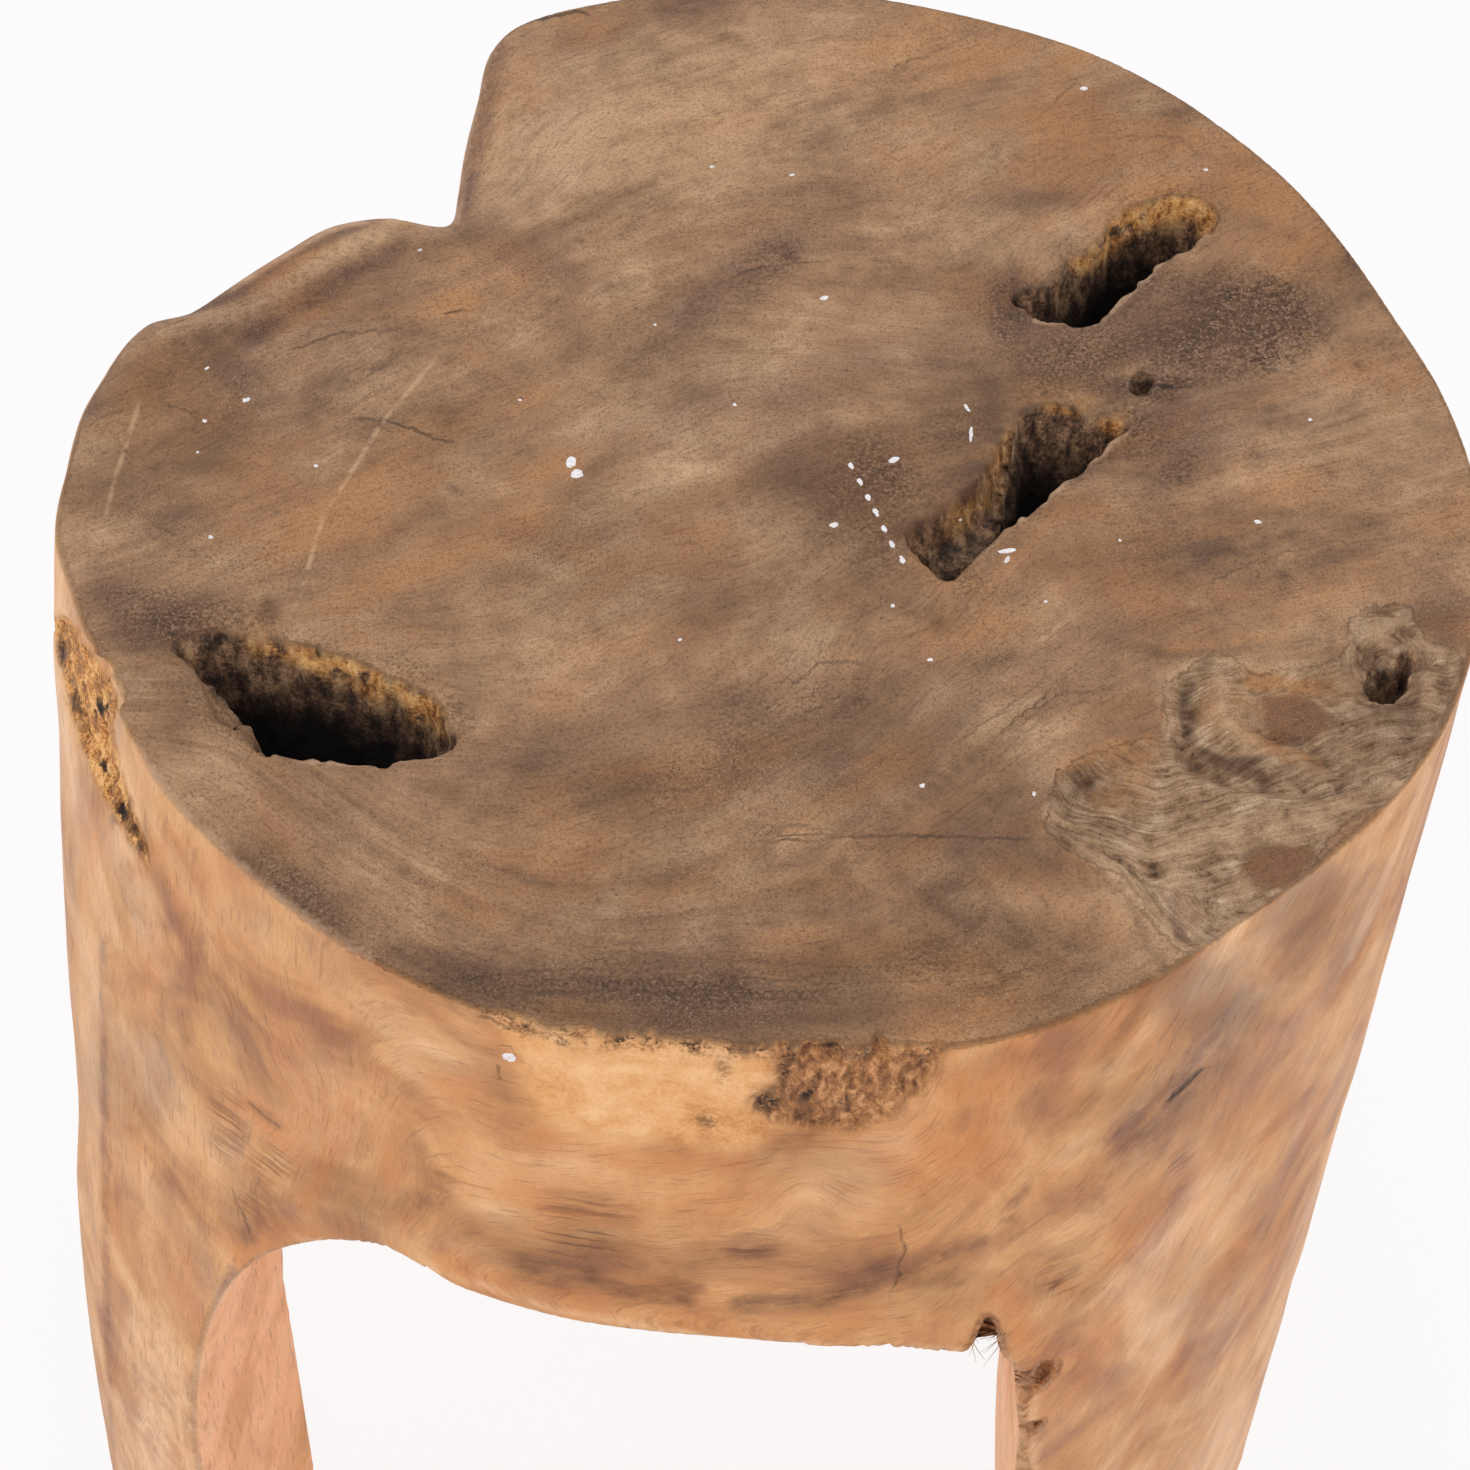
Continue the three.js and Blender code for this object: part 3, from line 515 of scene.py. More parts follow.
# Lines on the seat and on the side: path in pixels, strength
SEAT_CRACKS = (
    (((443, 314), (464, 308)), 0.8), (((287, 351), (338, 333), (411, 328)), 0.6),
    (((342, 418), (387, 420), (438, 440), (460, 443)), 0.8),
    (((707, 287), (765, 265), (841, 260)), 0.6), (((889, 70), (931, 54)), 0.6),
    (((1002, 740), (1062, 691), (1099, 694)), 0.5), (((1138, 383), (1174, 388), (1200, 384)), 1.0),
    (((132, 507), (180, 539)), 0.5), (((786, 690), (820, 662), (869, 662)), 0.5),
    (((800, 720), (840, 694), (872, 702)), 0.4), (((949, 749), (1000, 712), (1050, 678)), 0.4),
    (((529, 22), (574, 12), (593, 14)), 1.0),
    (((735, 842), (829, 839), (913, 835), (998, 839), (1044, 841)), 0.6), (((159, 398), (202, 420)), 0.5),
    (((735, 824), (800, 827), (870, 834)), 0.4), (((1026, 127), (1056, 100), (1080, 80)), 0.4),
    (((1087, 141), (1140, 136), (1180, 137), (1203, 158)), 0.4), (((876, 84), (930, 52), (988, 28)), 0.4),
    (((1060, 700), (1000, 755), (960, 790)), 0.35), (((1190, 590), (1260, 560), (1330, 542), (1400, 540)),
    0.35), (((600, 205), (640, 190), (668, 170)), 0.35),
    (((420, 985), (560, 968), (700, 975), (860, 985)), 0.35),
    (((470, 1000), (600, 990), (740, 998), (880, 1004)), 0.35), (((560, 950), (700, 958), (830, 968)), 0.3),
)
SEAT_SCRATCHES = (
    (((454, 338), (381, 424), (323, 517), (304, 581), (291, 619)), 0.8),
    (((143, 392), (114, 482), (100, 539)), 0.7), (((380, 356), (352, 392)), 0.4),
)
SIDE_CRACKS = (
    (((898, 1222), (905, 1246), (897, 1277), (890, 1304)), 0.6), (((1162, 1105), (1213, 1061)), 1.0),
    (((230, 1180), (252, 1236)), 0.7), (((460, 1008), (505, 1027), (559, 1037), (603, 1025), (699, 1043)),
    1.0), (((246, 1102), (284, 1129)), 0.6), (((498, 1062), (500, 1080)), 0.7),
    (((1040, 1300), (1085, 1262)), 0.3), (((970, 1180), (1010, 1150)), 0.4),
)

# The lean of the seat's grain in degrees, and places where the grain swirls: middle in pixels, reach in
# millimetres on the seat and in pixels on the side, and how far it is pushed aside in millimetres
SEAT_GRAIN_LEAN = 25
SEAT_SWIRLS = (
    (939, 627, 14, 9), (1040, 350, 40, 22), (825, 690, 24, 14), (320, 700, 45, -18), (1240, 325, 30, 14),
    (460, 215, 40, 26), (1280, 760, 60, -26), (1010, 470, 26, -12), (780, 560, 30, 8), (220, 450, 45, 14),
    (640, 300, 40, -10), (600, 800, 60, 12), (1060, 160, 40, -12),
)
SIDE_SWIRLS = (
    (804, 1199, 40, 18), (594, 1247, 34, 12), (330, 1100, 60, -16), (1254, 1092, 20, 8),
    (272, 1200, 40, 14), (960, 1140, 60, -14), (430, 1150, 50, 10), (160, 1000, 60, 8),
    (1061, 1278, 30, 8), (1190, 1120, 50, -10),
)

# Flecks of dried limewash: middle, length and width in pixels, turn in degrees
FLECKS = (
    (571, 462, 15, 8, 80), (577, 474, 13, 9, 20), (834, 525, 9, 5, 10), (1007, 551, 18, 5, 8),
    (1007, 560, 9, 4, 60), (967, 408, 11, 3, -60), (971, 434, 22, 3, 88), (894, 460, 12, 5, 20),
    (1084, 89, 8, 5, 0), (824, 298, 10, 5, 20), (712, 167, 5, 4, 0), (792, 175, 6, 3, 10),
    (207, 368, 6, 3, 40), (246, 400, 9, 5, 30), (205, 421, 4, 3, 0), (197, 452, 4, 3, 0),
    (211, 537, 5, 4, 0), (316, 466, 5, 3, 0), (509, 1057, 13, 10, 60), (851, 466, 9, 4, 118),
    (860, 482, 10, 4, 118), (868, 498, 9, 4, 118), (876, 513, 11, 4, 118), (884, 529, 9, 4, 118),
    (892, 544, 10, 4, 118), (902, 560, 11, 4, 118), (655, 325, 4, 3, 0), (735, 405, 4, 3, 0),
    (960, 520, 5, 3, 30), (1046, 602, 4, 3, 0), (1310, 420, 4, 3, 0), (420, 250, 4, 3, 0),
    (520, 400, 4, 2, 0), (680, 640, 4, 3, 0), (930, 660, 5, 3, 0), (1120, 540, 4, 3, 0),
    (1258, 522, 8, 4, 0), (893, 606, 4, 3, 0), (922, 786, 5, 4, 40), (1034, 794, 4, 4, 0),
    (1206, 170, 5, 4, 0),
)


# Widening of the flecks, which the photograph shows at a slant, and their thickness in millimetres
FLECK_SPREAD = 1.2
FLECK_THICKNESS = 0.35

# How many loose fibres there are, and points along each
FIBRES = 26
FIBRE_POINTS = 6

# The soft lamps: place and size in metres and the setting of its power, and the point they aim at
LAMPS = (
    ("left_lamp", (-1.5, -0.3, 1.5), 1.4, "left_power"),
    ("front_lamp", (0.1, -2.2, 0.6), 1.5, "front_power"),
    ("right_lamp", (1.5, 0.4, 1.6), 1.2, "right_power"),
)
LAMP_AIM = Vector((0.0, 0.0, 0.3))


# Number tools

FAR = 1e9
NOISE_VALUES = 4096
NOISE_SHIFT = 57.3
NOISE_PRIMES = (73856093, 19349663, 83492791)


def smooth_step(low, high, value):
    """0 at low and 1 at high, with level ends."""
    share = np.clip((value - low) / (high - low), 0, 1)
    return share * share * (3 - 2 * share)


def smooth_max(a, b, width):
    """The larger of two fields, rounded over a width where they meet."""
    overlap = np.clip(1 - np.abs(a - b) / width, 0, 1)
    return np.maximum(a, b) + overlap * overlap * width / 4


def window(value, start, full, fading, end):
    """1 from full to fading, and 0 before start and past end."""
    return smooth_step(start, full, value) * smooth_step(end, fading, value)


def hill(value, middle, reach):
    """Round bump of height 1 about a middle."""
    return np.exp(-((value - middle) / reach) ** 2)


def between(value, limits):
    """Whether values lie between two limits."""
    return (value > limits[0]) & (value < limits[1])


def bearing_of(x, y):
    """Bearing in degrees about the middle of the seat."""
    return np.degrees(np.arctan2(y, x)) % 360


def lumps(points, size, seed):
    """Smooth noise from -1 to 1 at points of two or three columns, with lumps of about this size."""
    values = np.random.default_rng(seed).random(NOISE_VALUES)
    place = points / size + NOISE_SHIFT
    cell = np.floor(place).astype(np.int64)
    part = place - cell
    part = part ** 3 * (part * (part * 6 - 15) + 10)
    total = np.zeros(len(points))
    for corner in range(2 ** points.shape[1]):
        key = np.zeros(len(points), np.int64)
        weight = np.ones(len(points))
        for axis in range(points.shape[1]):
            step = corner >> axis & 1
            key ^= (cell[:, axis] + step) * NOISE_PRIMES[axis]
            weight *= part[:, axis] if step else 1 - part[:, axis]
        total += values[key & (NOISE_VALUES - 1)] * weight
    return total * 2 - 1


def layered(points, size, seed, layers=3):
    """Lumps with finer and weaker ones on them."""
    return sum(lumps(points, size / 2 ** k, seed + k) / 2 ** k for k in range(layers))


def rounded(points, steps=5):
    """Closed smooth curve through points."""
    p = np.asarray(points, float)
    before, after, beyond = np.roll(p, 1, 0), np.roll(p, -1, 0), np.roll(p, -2, 0)
    t = (np.arange(steps) / steps)[:, None, None]
    curve = 0.5 * (2 * p + (after - before) * t + (2 * before - 5 * p + 4 * after - beyond) * t ** 2
                   + (3 * p - before - 3 * after + beyond) * t ** 3)
    return curve.transpose(1, 0, 2).reshape(-1, p.shape[1])


def outline_distance(curve, x, y):
    """Distance in the plane to a closed curve, negative inside it."""
    nearest = np.full(x.shape, FAR)
    inside = np.zeros(x.shape, bool)
    for (ax, ay), (bx, by) in zip(curve, np.roll(curve, -1, 0)):
        ex, ey = bx - ax, by - ay
        share = np.clip(((x - ax) * ex + (y - ay) * ey) / (ex * ex + ey * ey + 1e-12), 0, 1)
        nearest = np.minimum(nearest, (x - ax - share * ex) ** 2 + (y - ay - share * ey) ** 2)
        if ey:
            inside ^= ((ay > y) != (by > y)) & (x < ex * (y - ay) / ey + ax)
    return np.where(inside, -1, 1) * np.sqrt(nearest)


def path_distance(path, x, y):
    """Signed distance in the plane to an open path, and the share of the path up to its nearest point."""
    path = np.asarray(path, float)
    signed, along = np.full(x.shape, FAR), np.zeros(x.shape)
    for k, ((ax, ay), (bx, by)) in enumerate(zip(path, path[1:])):
        ex, ey = bx - ax, by - ay
        share = np.clip(((x - ax) * ex + (y - ay) * ey) / (ex * ex + ey * ey), 0, 1)
        gap = np.hypot(x - ax - share * ex, y - ay - share * ey)
        side = np.where(ex * (y - ay) - ey * (x - ax) < 0, -1, 1)
        closer = gap < np.abs(signed)
        signed = np.where(closer, gap * side, signed)
        along = np.where(closer, (k + share) / (len(path) - 1), along)
    return signed, along


def path_gap(path, x, y):
    """Distance in the plane to an open path."""
    return np.abs(path_distance(path, x, y)[0])


class Map:
    """Values on a regular grid of two coordinates, read back between its points."""

    def __init__(self, low, high, step, make, margin=0.0, wraps=False):
        self.low = np.asarray(low, float) - margin
        self.step = np.broadcast_to(np.asarray(step, float), 2)
        self.count = np.ceil((np.asarray(high, float) + margin - self.low) / self.step).astype(int) + 1
        self.wraps = wraps
        if wraps:
            self.count[0] -= 1
        first = self.low[0] + self.step[0] * np.arange(self.count[0])
        second = self.low[1] + self.step[1] * np.arange(self.count[1])
        a, b = np.meshgrid(first, second, indexing="ij")
        self.values = make(a.ravel(), b.ravel()).reshape(self.count)

    def __call__(self, a, b):
        u = (a - self.low[0]) / self.step[0]
        v = np.clip((b - self.low[1]) / self.step[1], 0, self.count[1] - 1.001)
        if not self.wraps:
            u = np.clip(u, 0, self.count[0] - 1.001)
        i, j = np.floor(u).astype(int), np.floor(v).astype(int)
        fu, fv = u - i, v - j
        i, k = i % self.count[0], (i + 1) % self.count[0]
        grid = self.values
        return ((grid[i, j] * (1 - fu) + grid[k, j] * fu) * (1 - fv)
                + (grid[i, j + 1] * (1 - fu) + grid[k, j + 1] * fu) * fv)


# The photograph's camera

FOCUS = LENS / FILM * PHOTO_SIZE
SIGHT = np.array([0, math.cos(CAMERA_ANGLE), -math.sin(CAMERA_ANGLE)])
SIGHT_UP = np.array([0, math.sin(CAMERA_ANGLE), math.cos(CAMERA_ANGLE)])


def sight_lines(pixels):
    """Directions from the camera through pixels of the photograph."""
    pixels = np.atleast_2d(np.asarray(pixels, float))
    across = (pixels[:, :1] - PHOTO_SIZE / 2) / FOCUS
    up = (PHOTO_SIZE / 2 - pixels[:, 1:2]) / FOCUS
    return SIGHT + across * np.array([1, 0, 0]) + up * SIGHT_UP


def on_level(pixels, height=SEAT_HEIGHT):
    """Plan points in millimetres where pixels of the photograph meet a level plane."""
    ray = sight_lines(pixels)
    reach = (height - CAMERA_PLACE[2]) / ray[:, 2]
    return (CAMERA_PLACE + ray * reach[:, None])[:, :2]


def to_pixels(points):
    """Pixels of the photograph where points in millimetres show."""
    away = points - CAMERA_PLACE
    depth = away @ SIGHT
    return (PHOTO_SIZE / 2 + FOCUS * away[:, 0] / depth,
            PHOTO_SIZE / 2 - FOCUS * (away @ SIGHT_UP) / depth)


# The log's form in millimetres: negative inside the wood

class LogForm:
    """The log as a field of distances to its surface."""

    def __init__(self, rounding, lobe_rounding, arris_rounding):
        self.rounding, self.lobe_rounding, self.arris_rounding = rounding, lobe_rounding, arris_rounding
        self.shares = Map((0, 0), (360, 2), (0.25, 1), self.outline_row, wraps=True)
        self.pits = [self.pit_map(*pit) for pit in PITS]
        self.side_relief = Map((0, 0), (360, SEAT_HEIGHT + 3), (0.25, 0.9), self.make_side_relief,
                               wraps=True)
        self.pocket_gap = self.gap_map(POCKET)
        reach = 1.1 * SEAT_RADIUS
        self.seat_relief = Map((-reach, -reach), (reach, reach), 0.6, self.make_seat_relief)
        self.legs = [self.leg_edges(*leg) for leg in LEG_SHARES]

    @staticmethod
    def leg_edges(corners, flares):
        """Start, way out, spread and height of the flare of each edge of a leg."""
        corners = np.array(corners) * SEAT_RADIUS
        edges = []
        for start, end, (spread, height) in zip(corners, corners[1:], flares):
            heading = (end - start) / np.linalg.norm(end - start)
            outward = np.array([heading[1], -heading[0]])
            edges.append((start, outward, spread * SEAT_RADIUS, height * SEAT_RADIUS))
        return edges

    @staticmethod
    def outline_row(bearing, column):
        """Radius at a bearing, as a share of the seat's, on a smooth curve through the outline's rows."""
        turn = (360, 0, 0, 0)
        rows = np.vstack([OUTLINE_SHARES[-2:] - turn, OUTLINE_SHARES, OUTLINE_SHARES[:2] + turn])
        at = np.clip(np.searchsorted(rows[:, 0], bearing, "right") - 1, 1, len(rows) - 3)
        col = column.astype(int) + 1
        x0, x1 = rows[at, 0], rows[at + 1, 0]
        y0, y1 = rows[at, col], rows[at + 1, col]
        s0 = (y1 - rows[at - 1, col]) / (x1 - rows[at - 1, 0])
        s1 = (rows[at + 2, col] - y0) / (rows[at + 2, 0] - x0)
        w = x1 - x0
        t = (bearing - x0) / w
        return (y0 * (1 + 2 * t) * (1 - t) ** 2 + s0 * w * t * (1 - t) ** 2
                + y1 * t * t * (3 - 2 * t) - s1 * w * t * t * (1 - t))

    def radius(self, bearing, height):
        """Radius of the smooth log at a bearing in degrees and a height."""
        seat, middle, foot = (self.shares(bearing, np.full(bearing.shape, float(k))) for k in range(3))
        depth = (SEAT_HEIGHT - height) / SEAT_HEIGHT
        bend = 2 * (seat + foot - 2 * middle)
        return SEAT_RADIUS * (seat + (foot - seat - bend) * depth + bend * depth * depth)

    def inset(self, x, y, bearing):
        """How far a plan point lies inside the seat's edge."""
        return self.radius(bearing, np.full(x.shape, SEAT_HEIGHT)) - np.hypot(x, y)

    def rim_width(self, bearing):
        """Width of the rim's rounding, which is wider on the lobe."""
        return self.rounding + (self.lobe_rounding - self.rounding) * window(bearing, *LOBE)

    @staticmethod
    def gap_map(pixels, margin=22.0, step=0.5):
        """Distance in plan to an outline seen on the seat."""
        curve = rounded(on_level(pixels))
        return Map(curve.min(0), curve.max(0), step, lambda x, y: outline_distance(curve, x, y), margin)

    def pit_map(self, pixels, depth, shift, floor):
        middle = rounded(on_level(pixels)).mean(0)
        return self.gap_map(pixels), middle, depth, np.array(shift), floor

    def pit(self, p, number):
        """Distance to a pit's wall, negative inside the pit."""
        gap, middle, depth, shift, floor = self.pits[number]
        down = SEAT_HEIGHT - p[:, 2]
        share = np.clip(down / depth, 0, 1.2)
        share = share * (0.8 + 0.2 * share)
        scale = 1 + (floor - 1) * share
        plan = middle + (p[:, :2] - middle - shift * share[:, None]) / scale[:, None]
        return np.maximum(gap(plan[:, 0], plan[:, 1]) * scale, (down - depth) * 0.8)

    def make_side_relief(self, bearing, height):
        """How far the side stands out from the smooth log."""
        turn = np.radians(bearing)
        place = np.stack([np.cos(turn) * SEAT_RADIUS, np.sin(turn) * SEAT_RADIUS, height * 0.8], 1)
        relief = 0.9 * lumps(place, 62, 11) + 0.35 * lumps(place, 21, 12)
        fine = lumps(place, 2.2, 13) + 0.6 * lumps(place, 1.1, 14)

        real = self.radius(bearing, height)
        surface = np.stack([real * np.cos(turn), real * np.sin(turn), height], 1)
        patch, torn = front_patch(BARK_PATCH, surface, bearing), front_patch(TORN_PATCH, surface, bearing)
        crumbs = lumps(place * (1, 1, 0.35), 3.0, 15)
        relief -= patch * (1.0 + 0.3 * fine + 0.4 * crumbs)
        relief -= torn * (1.5 + 0.45 * fine + 0.3 * crumbs + 0.5 * lumps(place * (1, 1, 0.5), 9, 20))
        ragged = np.maximum(patch, torn) * smooth_step(438, 449, height)
        relief -= 2.6 * ragged * smooth_step(0.1, 0.7, lumps(place, 5.5, 16))

        seam = seam_weight(surface, bearing)
        relief -= seam * (2.6 + 0.9 * fine + 2.2 * smooth_step(0.1, 0.7, lumps(place, 5.0, 17)))
        relief -= WAIST_DEPTH * window(bearing, *WAIST) * window(height, *WAIST_HEIGHTS)
        lip = window(bearing, *LOBE_LIP) * smooth_step(*LIP_HEIGHTS, height)
        nose = smooth_step(8, 0, np.abs(bearing - NOSE_BEARING))
        relief += (LIP_REACH + NOSE_REACH * nose) * lip
        for path, deep, wide in SIDE_GROOVES:
            gap, along = path_distance([(a * ARC, z) for a, z in path], bearing * ARC, height)
            relief -= deep * smooth_step(wide, 0, np.abs(gap)) * window(along, 0, 0.12, 0.88, 1)
        return relief

    def make_seat_relief(self, x, y):
        """How far the seat's surface stands above its level plane."""
        plan = np.stack([x, y], 1)
        bearing = bearing_of(x, y)
        inset = self.inset(x, y, bearing)
        relief = 0.35 * lumps(plan, 70, 21) + 0.12 * lumps(plan, 24, 22)
        fine = lumps(plan, 1.8, 23) + 0.6 * lumps(plan, 0.9, 24)
        coarse = layered(plan, 7.0, 25)

        relief += window(bearing, *LOBE_ROLL) * (1.6 * hill(inset, 8, 6) - 2.6 * hill(inset, 20, 7))
        relief -= window(bearing, *NOTCH) * 1.2 * hill(inset, 2, 6)

        for pit_gap, *_ in self.pits[:WORN_MOUTHS]:
            gap = pit_gap(x, y) + 0.7 * coarse
            relief -= 1.1 * smooth_step(7, 0, gap) + 0.25 * smooth_step(9, 1, gap) * fine
        ledge = smooth_step(1.2, -2.5, self.gap_map(LEFT_LEDGE)(x, y) + 0.6 * coarse)
        relief -= ledge * (LEDGE_DEPTH + 0.7 * fine)

        slope = smooth_step(1.0, -3.0, self.gap_map(LOWER_SLOPE)(x, y))
        slope = slope * smooth_step(46, 2, self.pits[LOWER_PIT][0](x, y))
        fibres = lumps(np.stack([0.9 * x + 0.4 * y, (0.9 * y - 0.4 * x) * 0.25], 1), 2.4, 26)
        relief -= slope * (SLOPE_DEPTH + 1.6 * fibres + 0.6 * fine)

        rough = smooth_step(3, -6, self.gap_map(PURPLE_PATCH)(x, y) + 2 * coarse)
        relief -= rough * (0.5 + 0.28 * fine + 0.25 * coarse)
        relief += self.pocket_relief(x, y, fine, coarse)

        crumbs = window(bearing, *CRUMBLED_RIM) * smooth_step(6, 0, inset + 2.5 * coarse)
        relief -= crumbs * (1.6 + 0.8 * fine)
        return relief

    def pocket_relief(self, x, y, fine, coarse):
        """The rough hollow at the seat's right, with its sanded ovals, ridges and grooves."""
        inside = smooth_step(1.0, -5.5, self.pocket_gap(x, y) + 0.7 * coarse)
        plan = np.stack([x, y], 1)
        across = pocket_flow(x, y)
        strands = 0.75 * lumps(np.stack([across / 2.4, x / 40, y / 40], 1), 1.0, 31)
        strands = strands + 0.25 * lumps(np.stack([across / 1.3, x / 24, y / 24], 1), 1.0, 32)
        combed = near_path(x, y, POCKET_FLOWS[0][1:], 22) + near_path(x, y, POCKET_FLOWS[1], 14)
        deep = POCKET_DEPTH + 1.2 * lumps(plan, 13, 33) + 0.55 * lumps(plan, 5.0, 34) + 0.22 * fine
        deep = deep + (0.2 + 0.8 * np.clip(combed, 0, 1)) * strands
        for place, reach, extra in POCKET_HOLLOWS:
            deep = deep + extra * near_path(x, y, place, reach)
        relief = -inside * deep
        for *oval, height in POCKET_OVALS:
            smooth = smooth_step(1.4, 0.7, oval_share(x, y, *oval) + 0.05 * coarse)
            relief = relief * (1 - smooth) - smooth * height
        return relief

    def side(self, p):
        """Distance to the side of the log."""
        bearing = bearing_of(p[:, 0], p[:, 1])
        step = 0.5
        radius = self.radius(bearing, p[:, 2])
        turn = (self.radius((bearing + step) % 360, p[:, 2]) - radius) / (math.radians(step) * radius)
        relief = self.side_relief(bearing, np.clip(p[:, 2], 0, SEAT_HEIGHT + 2))
        return (np.hypot(p[:, 0], p[:, 1]) - radius - relief) / np.sqrt(1 + turn * turn)

    def under(self, p):
        """Negative in the seat and in the legs, positive where the log is sawn away."""
        drop = ARCH_DROP - ARCH_RISE * smooth_step(*ARCH_LEFT_END, p[:, 0])
        drop = drop - CREST_RISE * hill(p[:, 0], *CREST_PLACE)
        ceiling = CEILING - drop * smooth_step(*ARCH_FRONT, p[:, 1])
        keep = ceiling - p[:, 2]
        for edges in self.legs:
            leg = None
            for start, outward, spread, height in edges:
                rise = np.clip((p[:, 2] - ceiling + height) / height, 0, 0.999)
                flare = spread * (1 - (1 - rise * rise) ** FLARE_POWER)
                gap = (p[:, :2] - start) @ outward - flare
                faces_left = outward[0] < -0.9
                if faces_left:
                    gap = gap + flare * (1 - CORNER_FLARE) - np.interp(p[:, 2], *zip(*LEG_LEAN))
                leg = gap if leg is None else smooth_max(leg, gap, LEG_ROUNDING)
            keep = np.minimum(keep, leg)
        return keep

    def __call__(self, p):
        top = p[:, 2] - SEAT_HEIGHT - self.seat_relief(p[:, 0], p[:, 1])
        form = smooth_max(self.side(p), top, self.rim_width(bearing_of(p[:, 0], p[:, 1])))
        form = smooth_max(form, self.under(p), self.arris_rounding)
        form = smooth_max(form, FOOT_HEIGHT - p[:, 2], FOOT_ROUNDING)
        for number, (_, middle, *_) in enumerate(self.pits):
            near = np.flatnonzero(np.abs(p[:, :2] - middle).max(1) < PIT_REACH)
            if len(near):
                q = p[near]
                wall = self.pit(q, number)
                close = np.abs(wall) < 6
                wall[close] += pit_roughness(q[close])
                form[near] = smooth_max(form[near], -wall, PIT_ROUNDING)
        bite = bite_gap(p)
        near = np.abs(bite) < 5
        bite[near] += 0.7 * layered(p[near], 3.2, 43)
        return smooth_max(form, -bite, 1.0)


def pocket_flow(x, y):
    """Coordinate in millimetres across the fibres of the pocket."""
    paths = [path_distance(on_level(path), x, y)[0] for path in POCKET_FLOWS]
    across = np.where(np.abs(paths[0]) < np.abs(paths[1]), paths[0], paths[1] + 31)
    plan = np.stack([x, y], 1)
    across = across + 1.5 * lumps(plan, 22, 35) + 0.45 * lumps(plan, 7, 36)
    for middle, reach in POCKET_KNOTS:
        (cx, cy), = on_level([middle])
        ring = np.hypot(x - cx, y - cy)
        share = smooth_step(reach, reach * 0.7, ring)
        across = across * (1 - share) + (ring + 67) * share
    return across


def near_path(x, y, pixels, reach):
    """Weight from 1 on a path of pixels to 0 at a reach in millimetres from it."""
    path = on_level(pixels)
    if len(path) == 1:
        path = np.vstack([path, path + (0.1, 0)])
    return smooth_step(reach, 0, path_gap(path, x, y))


def oval_share(x, y, place, reach, turn):
    """Distance from the middle of an oval of the pocket, as a share of its half sizes."""
    (cx, cy), = on_level([place])
    c, s = math.cos(math.radians(turn)), math.sin(math.radians(turn))
    u, v = (x - cx) * c + (y - cy) * s, (y - cy) * c - (x - cx) * s
    return np.hypot(u / reach[0], v / reach[1])


def patch_weight(outline, p, near, ragged, edge):
    """Weight of a patch outlined in pixels, whose ragged edge has a strength, a size and a seed."""
    weight = np.zeros(len(p))
    near = np.flatnonzero(near)
    if len(near):
        strength, size, seed = ragged
        gap = outline_distance(rounded(outline), *to_pixels(p[near]))
        weight[near] = smooth_step(*edge, gap + strength * layered(p[near], size, seed))
    return weight


def seam_weight(p, bearing):
    """Weight of the crumbling seam of old bark at the left."""
    near = between(bearing, SEAM_BEARINGS) & (p[:, 2] > SEAM_LOWEST)
    return patch_weight(BARK_SEAM, p, near, (2.5, 4.0, 19), (3.0, -4.0))


def front_patch(outline, p, bearing, soft=6.0):
    """Weight of a patch at the front of the rim."""
    near = between(bearing, PATCH_BEARINGS) & (p[:, 2] > PATCH_LOWEST)
    return patch_weight(outline, p, near, (5, 8.0, 18), (soft, -soft))


def bite_gap(p):
    """Rough distance to the nearest bite, negative inside it."""
    gap = np.full(len(p), FAR)
    for middle, reach in BITES:
        far = np.linalg.norm((p - middle) / reach, axis=1) - 1
        gap = np.minimum(gap, far * min(reach))
    x, half, rear, lowest = CORNER_PLACE
    near = np.flatnonzero((np.abs(p[:, 0] - x) < half) & (p[:, 1] < rear) & (p[:, 2] > lowest))
    if len(near):
        torn = CORNER_PIXEL * outline_distance(rounded(CORNER_GAP), *to_pixels(p[near]))
        gap[near] = np.minimum(gap[near], np.maximum(torn, p[near, 1] - CORNER_GAP_BACK))
    return gap


def pit_roughness(q):
    """How far a pit's rough wall stands out into it at points near it."""
    rough = 1.0 * lumps(q * (1, 1, 0.45), 5.5, 41) + 0.75 * lumps(q * (1, 1, 0.5), 2.6, 42)
    return rough + 0.9 * smooth_step(12, 2, SEAT_HEIGHT - q[:, 2]) * lumps(q, 3.6, 44)


# Fine mesh of the log

def edge_table(faces):
    """Each edge once, and for each face the number of its three edges."""
    pairs = np.sort(np.stack([faces, np.roll(faces, -1, 1)], 2).reshape(-1, 2), 1)
    key = pairs[:, 0].astype(np.int64) * (faces.max() + 1) + pairs[:, 1]
    _, first, number = np.unique(key, return_index=True, return_inverse=True)
    return pairs[first], number.reshape(-1, 3)


